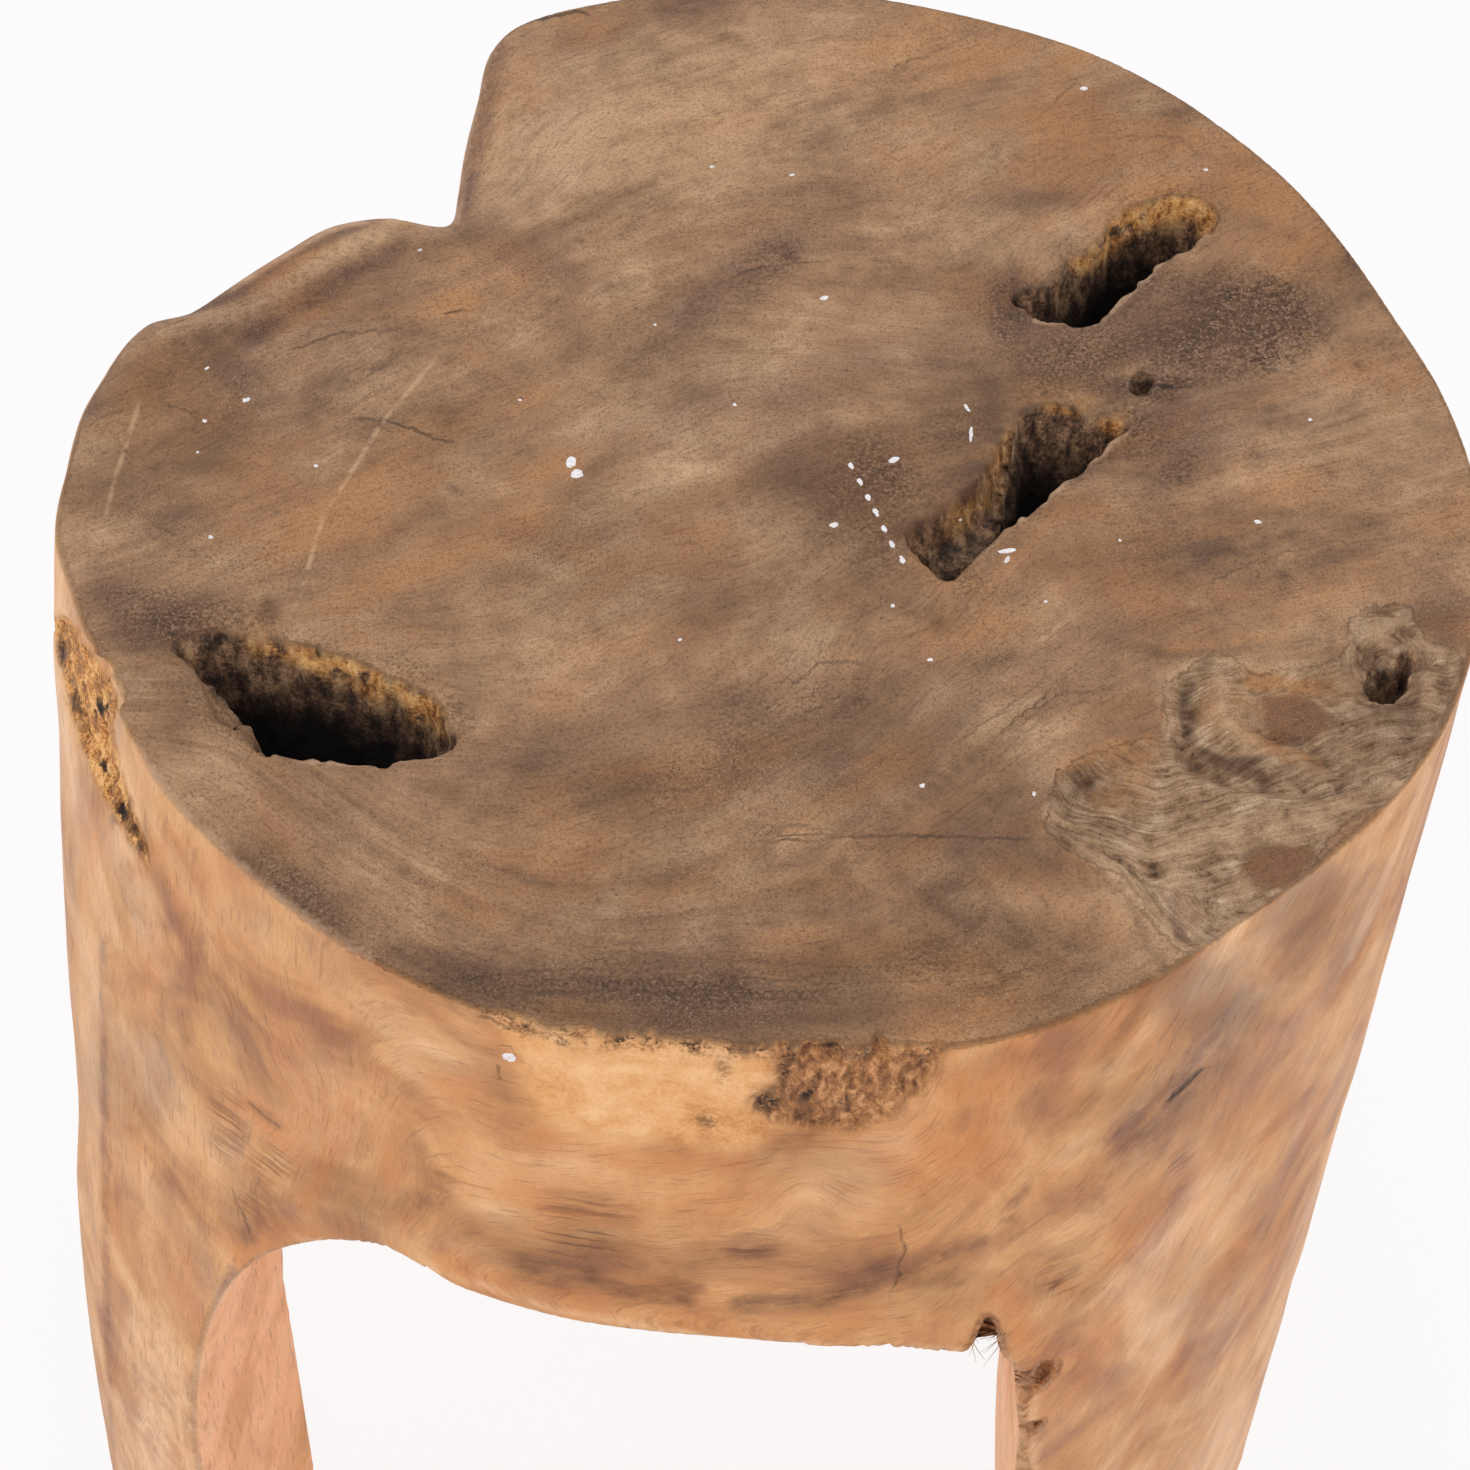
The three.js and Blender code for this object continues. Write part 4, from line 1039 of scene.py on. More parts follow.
def split_long_edges(points, faces, wanted):
    """Halves each edge that is longer than wanted there, and cuts its faces to match."""
    edges, of_face = edge_table(faces)
    middle = (points[edges[:, 0]] + points[edges[:, 1]]) / 2
    length = np.linalg.norm(points[edges[:, 0]] - points[edges[:, 1]], axis=1)
    long = length > wanted(middle)
    new = np.full(len(edges), -1)
    new[long] = len(points) + np.arange(long.sum())
    cut = new[of_face]
    turn = np.zeros(len(faces), int)
    count = (cut >= 0).sum(1)
    turn[count == 1] = np.argmax(cut[count == 1] >= 0, 1)
    turn[count == 2] = (np.argmax(cut[count == 2] < 0, 1) + 1) % 3
    column = (turn[:, None] + np.arange(3)) % 3
    face = np.take_along_axis(faces, column, 1)
    cut = np.take_along_axis(cut, column, 1)
    out = [face[count == 0]]
    f, m = face[count == 1], cut[count == 1]
    out += [np.stack([f[:, 0], m[:, 0], f[:, 2]], 1), np.stack([m[:, 0], f[:, 1], f[:, 2]], 1)]
    f, m = face[count == 2], cut[count == 2]
    out += [np.stack([m[:, 0], f[:, 1], m[:, 1]], 1), np.stack([f[:, 0], m[:, 0], m[:, 1]], 1),
            np.stack([f[:, 0], m[:, 1], f[:, 2]], 1)]
    f, m = face[count == 3], cut[count == 3]
    out += [np.stack([f[:, 0], m[:, 0], m[:, 2]], 1), np.stack([m[:, 0], f[:, 1], m[:, 1]], 1),
            np.stack([m[:, 2], m[:, 1], f[:, 2]], 1), m]
    return np.vstack([points, middle[long]]), np.vstack(out)


def flip_edges(points, faces):
    """Turns edges between two flat faces where that makes the angles rounder."""
    edges, of_face = edge_table(faces)
    order = np.argsort(of_face.ravel(), kind="stable")
    starts = np.searchsorted(of_face.ravel()[order], np.arange(len(edges)))
    f0, s0 = order[starts] // 3, order[starts] % 3
    f1, s1 = order[starts + 1] // 3, order[starts + 1] % 3
    a, b, c = faces[f0, s0], faces[f0, (s0 + 1) % 3], faces[f0, (s0 + 2) % 3]
    d = faces[f1, (s1 + 2) % 3]

    def corner(at, one, two):
        u, v = points[one] - points[at], points[two] - points[at]
        return np.arctan2(np.linalg.norm(np.cross(u, v), axis=1), (u * v).sum(1))

    def upright(i, j, k):
        n = np.cross(points[j] - points[i], points[k] - points[i])
        return n / (np.linalg.norm(n, axis=1)[:, None] + 1e-12)

    gain = corner(c, a, b) + corner(d, a, b) - math.pi
    flat = (upright(a, b, c) * upright(b, a, d)).sum(1) > 0.9
    sound = (upright(c, a, d) * upright(d, b, c)).sum(1) > 0.7
    base = int(faces.max()) + 1
    key = np.minimum(c, d).astype(np.int64) * base + np.maximum(c, d)
    present = edges[:, 0].astype(np.int64) * base + edges[:, 1]
    present.sort()
    taken = present[np.clip(np.searchsorted(present, key), 0, len(present) - 1)] == key
    gain[(gain < 0.02) | ~flat | ~sound | taken] = -1
    best = np.full(len(faces), -1.0)
    np.maximum.at(best, f0, gain)
    np.maximum.at(best, f1, gain)
    chosen = np.flatnonzero((gain > 0) & (gain == best[f0]) & (gain == best[f1]))
    chosen = chosen[np.unique(key[chosen], return_index=True)[1]]
    faces = faces.copy()
    faces[f0[chosen]] = np.stack([a[chosen], d[chosen], c[chosen]], 1)
    faces[f1[chosen]] = np.stack([d[chosen], b[chosen], c[chosen]], 1)
    return faces


def settle(points, form, rounds, reach=2.5):
    """Moves points onto the form's surface, and gives the way out of it there."""
    tiny = 0.03
    for _ in range(rounds):
        value = form(points)
        slope = np.stack([(form(points + tiny * axis) - value) / tiny for axis in np.eye(3)], 1)
        move = -value[:, None] * slope / np.maximum((slope * slope).sum(1), 0.05)[:, None]
        size = np.linalg.norm(move, axis=1)
        points = points + move * np.minimum(1, reach / np.maximum(size, 1e-9))[:, None]
    return points, slope / (np.linalg.norm(slope, axis=1)[:, None] + 1e-9)


def neighbour_mean(values, faces):
    """Mean of each point's neighbours' values."""
    edges, _ = edge_table(faces)
    ends = np.concatenate([edges[:, 0], edges[:, 1]])
    others = np.concatenate([edges[:, 1], edges[:, 0]])
    count = np.bincount(ends, minlength=len(values))
    columns = values.reshape(len(values), -1).T
    sums = [np.bincount(ends, column[others], len(values)) / count for column in columns]
    return np.stack(sums, 1).reshape(values.shape)


def even_out(points, faces, normals, strength=0.45):
    """Moves each point along the surface towards the middle of its neighbours."""
    pull = neighbour_mean(points, faces) - points
    pull -= (pull * normals).sum(1)[:, None] * normals
    return points + strength * pull


def finer(length, finest, growth, gap, away=0):
    """Length made no more than the finest at a feature, growing with the gap to it, except where away."""
    return np.minimum(length, finest + growth * np.maximum(gap, 0) + 50 * away)


def wanted_length(form, settings):
    """Edge length wanted at points: fine where the log has fine forms or marks."""
    seat, side, rest = (value / MM for value in (settings.seat_edge, settings.side_edge, settings.rest_edge))

    def wanted(p):
        bearing = bearing_of(p[:, 0], p[:, 1])
        inset = form.inset(p[:, 0], p[:, 1], bearing)
        down = SEAT_HEIGHT - p[:, 2]
        outside = np.hypot(p[:, 0], p[:, 1]) - form.radius(bearing, p[:, 2]) > -4
        front = outside & between(bearing, FRONT_BEARINGS)
        length = np.where(front, side, rest)
        on_seat = smooth_step(9, 6, down)
        length = np.where(down < 8, np.minimum(length, seat), length)
        length = finer(length, 1.5, 0.35, np.hypot(inset, down) - 2.5)
        for number, finest in enumerate(PIT_EDGES):
            finest = finest + 0.25 * np.abs(form.pit(p, number))
            length = finer(length, finest, 0.045, down - 3, down > 96)
        pocket = form.pocket_gap(p[:, 0], p[:, 1])
        length = finer(length, 1.15, 0.4, pocket - 0.5, (1 - on_seat) * (down > 14))
        patch = np.maximum(0.5 * front_patch(BARK_PATCH, p, bearing), front_patch(TORN_PATCH, p, bearing))
        length = finer(length, 1.3, 9, 1 - patch * outside)
        length = finer(length, 1.2, 0.4, np.abs(bite_gap(p)) - 2)
        under = form.under(p)
        arris = np.abs(under) + 50 * ~outside
        length = finer(length, np.where(front, 1.8, 3.6), 0.5, arris - 2)
        foot = np.maximum(np.abs(p[:, 2] - FOOT_HEIGHT), np.abs(np.maximum(form.side(p), under)))
        length = finer(length, 2.6, 0.5, foot - 4)
        px, py = to_pixels(p)
        seam = outline_distance(np.array(BARK_SEAM), px, py) * PIXEL
        seam = np.where(between(bearing, SEAM_BEARINGS) & (down < 75) & outside, seam, 50)
        length = finer(length, 1.3, 0.4, seam - 1)
        for rows, where in ((SEAT_CRACKS + SEAT_SCRATCHES, down < 6), (SIDE_CRACKS, front & (down > 3))):
            for path, strength in rows:
                gap = path_gap(path, px, py) * PIXEL
                length = finer(length, 3.4 - 1.8 * strength, 0.5, gap - 2, ~where)
        return length * settings.coarseness

    return wanted


def base_mesh(voxel):
    """The CAD log as an even closed net of triangles, in millimetres about the seat."""
    mesh = bpy.data.objects["carved_log"].data.copy()
    carrier = bpy.data.objects.new("log_base", mesh)
    bpy.context.scene.collection.objects.link(carrier)
    work = bmesh.new()
    work.from_mesh(mesh)
    bmesh.ops.remove_doubles(work, verts=work.verts, dist=1e-6)
    work.to_mesh(mesh)
    work.free()
    remesh = carrier.modifiers.new("even", "REMESH")
    remesh.mode = "VOXEL"
    remesh.voxel_size = voxel
    carrier.modifiers.new("triangles", "TRIANGULATE")
    result = bpy.data.meshes.new_from_object(carrier.evaluated_get(bpy.context.evaluated_depsgraph_get()))
    points = np.zeros(len(result.vertices) * 3)
    result.vertices.foreach_get("co", points)
    faces = np.zeros(len(result.loops), np.int32)
    result.loops.foreach_get("vertex_index", faces)
    bpy.data.objects.remove(carrier)
    return points.reshape(-1, 3) / MM - SEAT_MIDDLE, faces.reshape(-1, 3).astype(np.int64)


def carve(form, settings):
    """Points and faces of the finished log, in millimetres about the seat."""
    points, faces = base_mesh(settings.voxel)
    points, normals = settle(points, form, 3)
    wanted = wanted_length(form, settings)
    for _ in range(settings.rounds):
        points, faces = split_long_edges(points, faces, wanted)
        faces = flip_edges(points, faces)
        points, normals = settle(points, form, 1)
        points = even_out(points, faces, normals)
        faces = flip_edges(points, faces)
    points, normals = settle(points, form, 3, 1.2)
    return points, faces


# Marks on the log: one value at each point of its mesh

def stain(rows, px, py, ripple):
    """Weight of soft-edged stains given by rows of middle, half sizes, turn and strength."""
    total = np.zeros(px.shape)
    for x, y, long, short, turn, strength in rows:
        c, s = math.cos(math.radians(turn)), math.sin(math.radians(turn))
        u = ((px - x) * c - (py - y) * s) / long
        v = ((px - x) * s + (py - y) * c) / short
        total = np.maximum(total, strength * smooth_step(1.35, 0.35, np.hypot(u, v) + ripple))
    return total


def band(rows, px, py, ripple):
    """Weight of soft-edged bands given by rows of path, half width and strength."""
    total = np.zeros(px.shape)
    for path, half, strength in rows:
        total = np.maximum(total, strength * smooth_step(1.5, 0.3, path_gap(path, px, py) / half + ripple))
    return total


def line_marks(rows, px, py, limit=99.0):
    """Signed distance in pixels to the nearest line within a limit, and how strong that line is there."""
    signed, strength = np.full(px.shape, limit), np.zeros(px.shape)
    for path, weight in rows:
        gap, along = path_distance(path, px, py)
        taper = window(along, 0, 0.15, 0.85, 1) * smooth_step(44, 16, np.abs(gap))
        closer = np.abs(gap) < np.abs(signed)
        signed = np.where(closer, gap, signed)
        strength = np.where(closer, weight * taper, strength)
    return signed, strength


def point_normals(points, faces):
    """The way out of the surface at each point."""
    a, b, c = (points[faces[:, k]] for k in range(3))
    cross = np.cross(b - a, c - a)
    total = np.stack([sum(np.bincount(faces[:, k], cross[:, axis], len(points)) for k in range(3))
                      for axis in range(3)], 1)
    return total / (np.linalg.norm(total, axis=1)[:, None] + 1e-9)


def seat_grain(plan, inset):
    """Coordinate across the seat's grain, which rises to the right and bends round knots and rim."""
    lean = math.radians(SEAT_GRAIN_LEAN)
    across = plan @ np.array([-math.sin(lean), math.cos(lean)])
    across = across + 13 * lumps(plan, 95, 51) + 3.5 * lumps(plan, 30, 52)
    for x, y, reach, rise in SEAT_SWIRLS:
        (cx, cy), = on_level([(x, y)])
        across = across + rise * np.exp(-((plan[:, 0] - cx) ** 2 + (plan[:, 1] - cy) ** 2) / reach ** 2)
    front = smooth_step(52, 16, inset) * smooth_step(-60, -120, plan[:, 1])
    return across * (1 - front) + (inset - 190 + 2 * lumps(plan, 40, 53)) * front


def side_grain(points, bearing, px, py):
    """Coordinate across the side's grain: upright on the legs, sloping on the apron."""
    arc, z = bearing * ARC, points[:, 2]
    upright = arc - 900
    level = 0.25 * (arc - 903) - 0.97 * (z - 370)
    sloping = 0.87 * (arc - 1050) - 0.5 * (z - 300) + 130
    on_apron = window(bearing, *APRON) * smooth_step(285, 330, z)
    on_right = window(bearing, *RIGHT_SIDE)
    on_apron = on_apron * (1 - on_right)
    across = upright * (1 - on_apron - on_right) + level * on_apron + sloping * on_right
    for x, y, reach, rise in SIDE_SWIRLS:
        across = across + rise * np.exp(-((px - x) ** 2 + (py - y) ** 2) / reach ** 2)
    return across + 9 * lumps(points * (1, 1, 0.6), 70, 54) + 2.5 * lumps(points, 24, 55)


def fold_marks(points, faces, normals):
    """How sharply the surface folds inward, at a scale that does not depend on the mesh."""
    shift = neighbour_mean(points, faces) - points
    length = (points ** 2).sum(1)
    square = neighbour_mean(length, faces) - 2 * (points * shift).sum(1) - length
    fold = neighbour_mean(4 * (shift * normals).sum(1) / np.maximum(square, 0.2), faces)
    return np.clip(fold, -1, 1)


def nearest_line(paths, px, py, faint, full):
    """Weight of the nearest of some paths: 0 at faint pixels from it, 1 at full."""
    return np.max([smooth_step(faint, full, path_gap(path, px, py)) for path in paths], 0)


def log_marks(form, points, faces):
    """The marks that the log's finish reads."""
    normals = point_normals(points, faces)
    bearing = bearing_of(points[:, 0], points[:, 1])
    plan, z = points[:, :2], points[:, 2]
    down = SEAT_HEIGHT - z
    px, py = to_pixels(points)
    inset = form.inset(*plan.T, bearing)
    top = z - SEAT_HEIGHT - form.seat_relief(*plan.T)
    side, under = form.side(points), form.under(points)
    walls = [form.pit(points, number) for number in range(len(PITS))]
    ripple = 0.22 * lumps(points, 9, 61) + 0.12 * lumps(points, 3.5, 62)
    fine = layered(points, 4.0, 63)

    pit = smooth_step(-1.2, 1.2, -np.min(walls, 0) - np.maximum.reduce([top, side, under]))
    pit = pit * smooth_step(0.5, 2.5, down)
    cut = smooth_step(-1.5, 1.5, under - np.maximum(top, side))
    seat = smooth_step(-1.2, 1.2, top - side) * (1 - cut)
    outer = (1 - seat) * (1 - cut) * (1 - pit)
    facing = outer * smooth_step(0.0, 0.1, (normals * (CAMERA_PLACE - points)).sum(1) / 1500)
    shown = seat * smooth_step(26, 18, down)

    pocket = smooth_step(1.0, -2.0, form.pocket_gap(*plan.T) + 0.8 * fine) * (down < 30) * (1 - outer)
    worn = np.max([smooth_step(1.15, 0.85, oval_share(*plan.T, *oval) + 0.1 * fine)
                   for *oval, _ in POCKET_OVALS], 0)
    patch = smooth_step(3, -6, form.gap_map(PURPLE_PATCH)(*plan.T) + 4 * fine) * shown
    slope = smooth_step(2, -2, form.gap_map(LOWER_SLOPE)(*plan.T) + fine) * smooth_step(0.5, 2, down)
    slope = slope * (down < 60)
    mouth = np.max([smooth_step(7, 0, np.abs(wall) + 2 * fine) for wall in walls[:HOLLOWS]], 0)
    crust = stain(SEAT_CRUST, px, py, ripple) + 0.5 * patch + 0.35 * mouth
    crust = np.clip(crust, 0, 1) * seat * (down < 26)
    level = np.full(len(points), SEAT_HEIGHT)
    edge = nearest_line(PALE_MOUTH, *to_pixels(np.stack([*plan.T, level], 1)), 9, 4)
    lip = smooth_step(1.7, 0.4, np.abs(np.min(walls[:HOLLOWS], 0)) + 0.4 * fine) * (down < 5) * edge
    rim_wear_and_highlight = nearest_line(RIM_WEAR_AND_HIGHLIGHT, px, py, 16, 7)

    seam = seam_weight(points, bearing) * outer
    bite = smooth_step(2.0, 0.6, np.abs(bite_gap(points)) + 0.6 * fine)
    bark = front_patch(BARK_PATCH, points, bearing, 15.0) * outer
    torn = front_patch(TORN_PATCH, points, bearing, 10.0) * outer
    crumbly = smooth_step(441, 448, z + 2.5 * fine) * np.maximum(bark, torn)
    rough = np.maximum.reduce([pocket * (1 - worn), 0.6 * crust, pit, seam, 0.6 * bark, torn, bite])

    ring = np.hypot(*plan.T) + 7 * lumps(points * (1, 1, 0.4), 60, 56)
    deep = np.maximum(cut, pit)
    grain = seat_grain(plan, inset) * seat + side_grain(points, bearing, px, py) * (1 - seat)
    grain = grain * (1 - deep) + ring * deep
    inner = pocket > 0.3
    grain[inner] = pocket_flow(*plan[inner].T)

    on_side = facing > 0.5
    crack, crack_depth = line_marks(SEAT_CRACKS, px, py)
    side_crack, side_depth = line_marks(SIDE_CRACKS, px, py)
    scratch, scratch_depth = line_marks(SEAT_SCRATCHES, px, py)

    def coloured(stains, bands):
        return np.maximum(stain(stains, px, py, ripple), band(bands, px, py, ripple))

    marks = {name: coloured(SEAT_STAINS[name], SEAT_BANDS[name]) * shown
             + coloured(SIDE_STAINS[name], SIDE_BANDS[name]) * facing for name in SEAT_STAINS}
    marks.update({
        "seat": seat, "cut": cut, "grain": grain, "crust": crust,
        # depth: how far down the hollows and the slope go, from which the finish paints shade
        "pit": pit, "depth": np.clip(down / 100, 0, 1) * np.maximum(pit, slope),
        "gold": stain(LIT_HOLE_GOLD, px, py, 1.4 * ripple) * (down < 30),
        "slope": slope, "pocket": pocket, "worn": worn * pocket, "rough": np.clip(rough, 0, 1),
        "bark": bark, "torn": torn, "crumbly": crumbly, "seam": seam, "bite": bite, "lip": lip,
        # rim: pale line of the worn rim, partly wear and partly painted highlight
        "rim": smooth_step(1.0, 0.3, np.abs(top - side) / form.rim_width(bearing)) * (1 - cut) * rim_wear_and_highlight,
        # arris: painted highlight along the eased edges of the slots
        "arris": smooth_step(2.6, 0.6, np.abs(under - side)) * (z < CEILING + 12),
        # fold: how sharply the surface folds; the finish paints shade in the creases and highlight on the
        # ridges from it
        "fold": fold_marks(points, faces, normals),
        "shade": stain(SEAT_SHADE, px, py, ripple) * seat + stain(SIDE_SHADE, px, py, ripple) * facing,
        "rasped": stain(SIDE_RASPED, px, py, ripple) * facing,
        "crack": np.where(on_side, side_crack, crack),
        "crack_depth": np.where(on_side, side_depth * facing, crack_depth * shown),
        "scratch": scratch, "scratch_depth": scratch_depth * shown,
    })
    return marks


# Finishes

WHITE = (1.0, 1.0, 1.0, 1.0)


def tone(red, green, blue):
    """Scene colour of a screen colour from 0 to 255."""
    return tuple((v / 255 / 12.92 if v <= 10.31 else ((v / 255 + 0.055) / 1.055) ** 2.4)
                 for v in (red, green, blue)) + (1.0,)


class Builder:
    """A tree that is built node by node."""

    def __init__(self, tree):
        self.tree = tree
        self.tree.nodes.clear()

    def node(self, kind, inputs=(), **settings):
        made = self.tree.nodes.new(kind)
        for key, value in settings.items():
            setattr(made, key, value)
        for key, value in dict(inputs).items():
            if isinstance(value, bpy.types.NodeSocket):
                self.tree.links.new(value, made.inputs[key])
            else:
                made.inputs[key].default_value = value
        return made

    def maths(self, operation, *values):
        return self.node("ShaderNodeMath", dict(enumerate(values)), operation=operation).outputs[0]

    def seen(self):
        """1 for what shows to the camera, also in a mirror or through glass, and 0 for light cast on."""
        path = self.node("ShaderNodeLightPath").outputs
        through = self.maths("MAXIMUM", path["Is Glossy Ray"], path["Is Transmission Ray"])
        return self.maths("MAXIMUM", path["Is Camera Ray"], through)


class Finish(Builder):
    """One material."""

    def __init__(self, name):
        self.material = bpy.data.materials.new(name)
        self.material.use_nodes = True
        super().__init__(self.material.node_tree)
        self.place = self.node("ShaderNodeTexCoord").outputs["Object"]

    def times(self, *values):
        total = values[0]
        for value in values[1:]:
            total = self.maths("MULTIPLY", total, value)
        return total

    def total(self, *values):
        total = values[0]
        for value in values[1:]:
            total = self.maths("ADD", total, value)
        return total

    def opposite(self, value):
        return self.maths("SUBTRACT", 1.0, value)

    def span(self, value, low, high, start=0.0, end=1.0):
        return self.node("ShaderNodeMapRange", {0: value, 1: low, 2: high, 3: start, 4: end}).outputs[0]

    def mark(self, name):
        return self.node("ShaderNodeAttribute", attribute_name=name).outputs["Fac"]

    def mix(self, share, first, second, blend="MIX"):
        return self.node("ShaderNodeMix", {0: share, 6: first, 7: second}, data_type="RGBA",
                         blend_type=blend).outputs[2]

    def tint(self, share, colour, *screen_colour):
        """A colour multiplied by a screen colour, by a share."""
        return self.mix(share, colour, tone(*screen_colour), "MULTIPLY")

    def scaled(self, stretch):
        return self.node("ShaderNodeVectorMath", {0: self.place, 1: stretch},
                         operation="MULTIPLY").outputs[0]

    def noise(self, scale, detail=2.0, roughness=0.5, stretch=(1.0, 1.0, 1.0), swirl=0.0):
        place = self.place if stretch == (1.0, 1.0, 1.0) else self.scaled(stretch)
        return self.node("ShaderNodeTexNoise", {"Vector": place, "Scale": scale, "Detail": detail,
                                                "Roughness": roughness, "Distortion": swirl}).outputs["Fac"]

    def streaks(self, grain, lines, along, detail=2.0, roughness=0.5):
        """Noise drawn out along the grain: lines per millimetre across it, features per metre along it."""
        return self.node("ShaderNodeTexNoise", {"Vector": self.scaled((along,) * 3),
                                                "W": self.times(grain, lines), "Scale": 1.0,
                                                "Detail": detail, "Roughness": roughness},
                         noise_dimensions="4D").outputs["Fac"]

    def ramp(self, value, *stops):
        node = self.node("ShaderNodeValToRGB", {0: value})
        while len(node.color_ramp.elements) < len(stops):
            node.color_ramp.elements.new(0.5)
        for element, (at, colour) in zip(node.color_ramp.elements, stops):
            element.position = at
            element.color = colour
        return node.outputs["Color"]

    def bump(self, height, distance, strength=1.0):
        return self.node("ShaderNodeBump", {"Height": height, "Distance": distance,
                                            "Strength": strength}).outputs["Normal"]

    def done(self, colour, roughness, normal, **uniform):
        shader = self.node("ShaderNodeBsdfPrincipled", {"Base Color": colour, "Roughness": roughness,
                                                        "Normal": normal})
        for name, value in uniform.items():
            shader.inputs[name.replace("_", " ")].default_value = value
        self.node("ShaderNodeOutputMaterial", {"Surface": shader.outputs[0]})
        return self.material


class Hardwood(Finish):
    """Waxed hardwood: brown sawn seat, tan sides, rough hollows, old bark."""

    def __init__(self, look):
        super().__init__("oiled_hardwood")
        self.look = look
        self.seat, self.cut, self.rough = self.mark("seat"), self.mark("cut"), self.mark("rough")
        self.grain = self.mark("grain")
        self.cloud = self.noise(8, 3)
        self.marbled = self.noise(17, 4, 0.55, swirl=1.4)
        self.blotch = self.noise(30, 4, 0.6)
        self.mottle = self.noise(150, 4, 0.65)
        self.grit = self.noise(900, 3, 0.7)
        self.dust = self.noise(2300, 1, 0.5)
        self.wide = self.streaks(self.grain, 0.05, 14, 3, 0.6)
        self.middle = self.streaks(self.grain, 0.17, 34, 3, 0.6)
        self.fine = self.streaks(self.grain, 0.7, 80, 2, 0.6)
        self.thread = self.streaks(self.grain, 2.2, 190, 1)
        self.vary = self.span(self.blend((self.middle, 0.5), (self.mottle, 0.5)), 0.40, 0.58, 0.3, 1.0)
        self.crumbs = self.blend((self.mottle, 0.55), (self.grit, 0.45))
        self.crust = self.times(self.mark("crust"), self.span(self.blotch, 0.40, 0.55, 0.4, 1.0))

    def blend(self, *parts):
        """Sum of values by their shares."""
        return self.total(*(self.times(value, share) for value, share in parts))

    def sawn_wood(self):
        """Colour of the seat, of the sides and of the slots' sawn faces."""
        look = self.look
        seat_value = self.blend((self.cloud, 0.2), (self.wide, 0.2), (self.marbled, 0.14),
                                (self.blotch, 0.14), (self.middle, 0.12), (self.fine, 0.08),
                                (self.mottle, 0.12))
        side_value = self.blend((self.cloud, 0.26), (self.wide, 0.12), (self.marbled, 0.38),
                                (self.blotch, 0.1), (self.middle, 0.08), (self.fine, 0.06))
        seat_colour = self.ramp(self.span(seat_value, 0.40, 0.60), (0.0, look.seat_dark),
                                (0.32, look.seat_brown), (0.62, look.seat_tan), (1.0, look.seat_pale))
        side_colour = self.ramp(self.span(side_value, 0.40, 0.60), (0.0, look.side_dark),
                                (0.35, look.side_brown), (0.6, look.side_tan), (1.0, look.side_pale))
        cut_colour = self.ramp(self.span(side_value, 0.38, 0.62), (0.0, look.side_tan),
                               (0.4, look.cut_tan), (1.0, look.cut_pale))
        colour = self.mix(self.cut, self.mix(self.seat, side_colour, seat_colour), cut_colour)

        warm = self.blend((self.noise(14, 3), 0.5), (self.streaks(self.grain, 0.04, 22, 2), 0.5))
        warm = self.times(self.span(warm, 0.51, 0.62), self.span(self.cut, 0, 1, 0.55, 0.25))
        dull = self.blend((self.noise(19, 4), 0.6), (self.streaks(self.grain, 0.07, 30, 2), 0.4))
        dull = self.times(self.span(dull, 0.52, 0.64), self.span(self.cut, 0, 1, 0.5, 0.25))
        colour = self.mix(warm, colour, self.mix(self.seat, look.side_orange, look.seat_orange))
        return self.tint(dull, colour, 196, 190, 206)

    def pocket_wood(self, colour):
        """The torn fibres of the pocket, and its ovals that are sanded smooth."""
        look = self.look
        strands = self.blend((self.streaks(self.grain, 1.1, 60, 3, 0.65), 0.34), (self.mottle, 0.38),
                             (self.grit, 0.28))
        torn = self.ramp(self.span(strands, 0.38, 0.60), (0.0, look.rough_dark), (0.35, look.rough_brown),
                         (0.7, look.rough_pale), (1.0, tone(214, 186, 154)))
        worn = self.mix(self.span(self.fine, 0.4, 0.6), look.worn_brown, tone(132, 92, 62))
        return self.mix(self.mark("pocket"), colour, self.mix(self.mark("worn"), torn, worn))

    def stains(self, colour):
        """Stains, shade and crust."""
        look = self.look
        orange = self.mix(self.seat, look.side_orange, look.seat_orange)
        pale = self.mix(self.seat, look.side_pale, look.seat_pale)
        colour = self.mix(self.times(self.mark("orange"), self.vary, 0.95), colour, orange)
        colour = self.mix(self.times(self.mark("pale"), self.vary, 0.9), colour, pale)
        colour = self.tint(self.times(self.mark("purple"), self.vary), colour, 178, 168, 186)
        colour = self.tint(self.times(self.mark("dark"), self.vary), colour, 132, 116, 110)
        colour = self.tint(self.mark("shade"), colour, 172, 164, 162)
        grains = self.span(self.blend((self.grit, 0.6), (self.mottle, 0.4)), 0.46, 0.58)
        colour = self.mix(self.times(self.crust, grains), colour, look.rough_dark)
        return self.mix(self.times(self.crust, self.span(self.grit, 0.45, 0.36), 0.6), colour,
                        look.rough_pale)

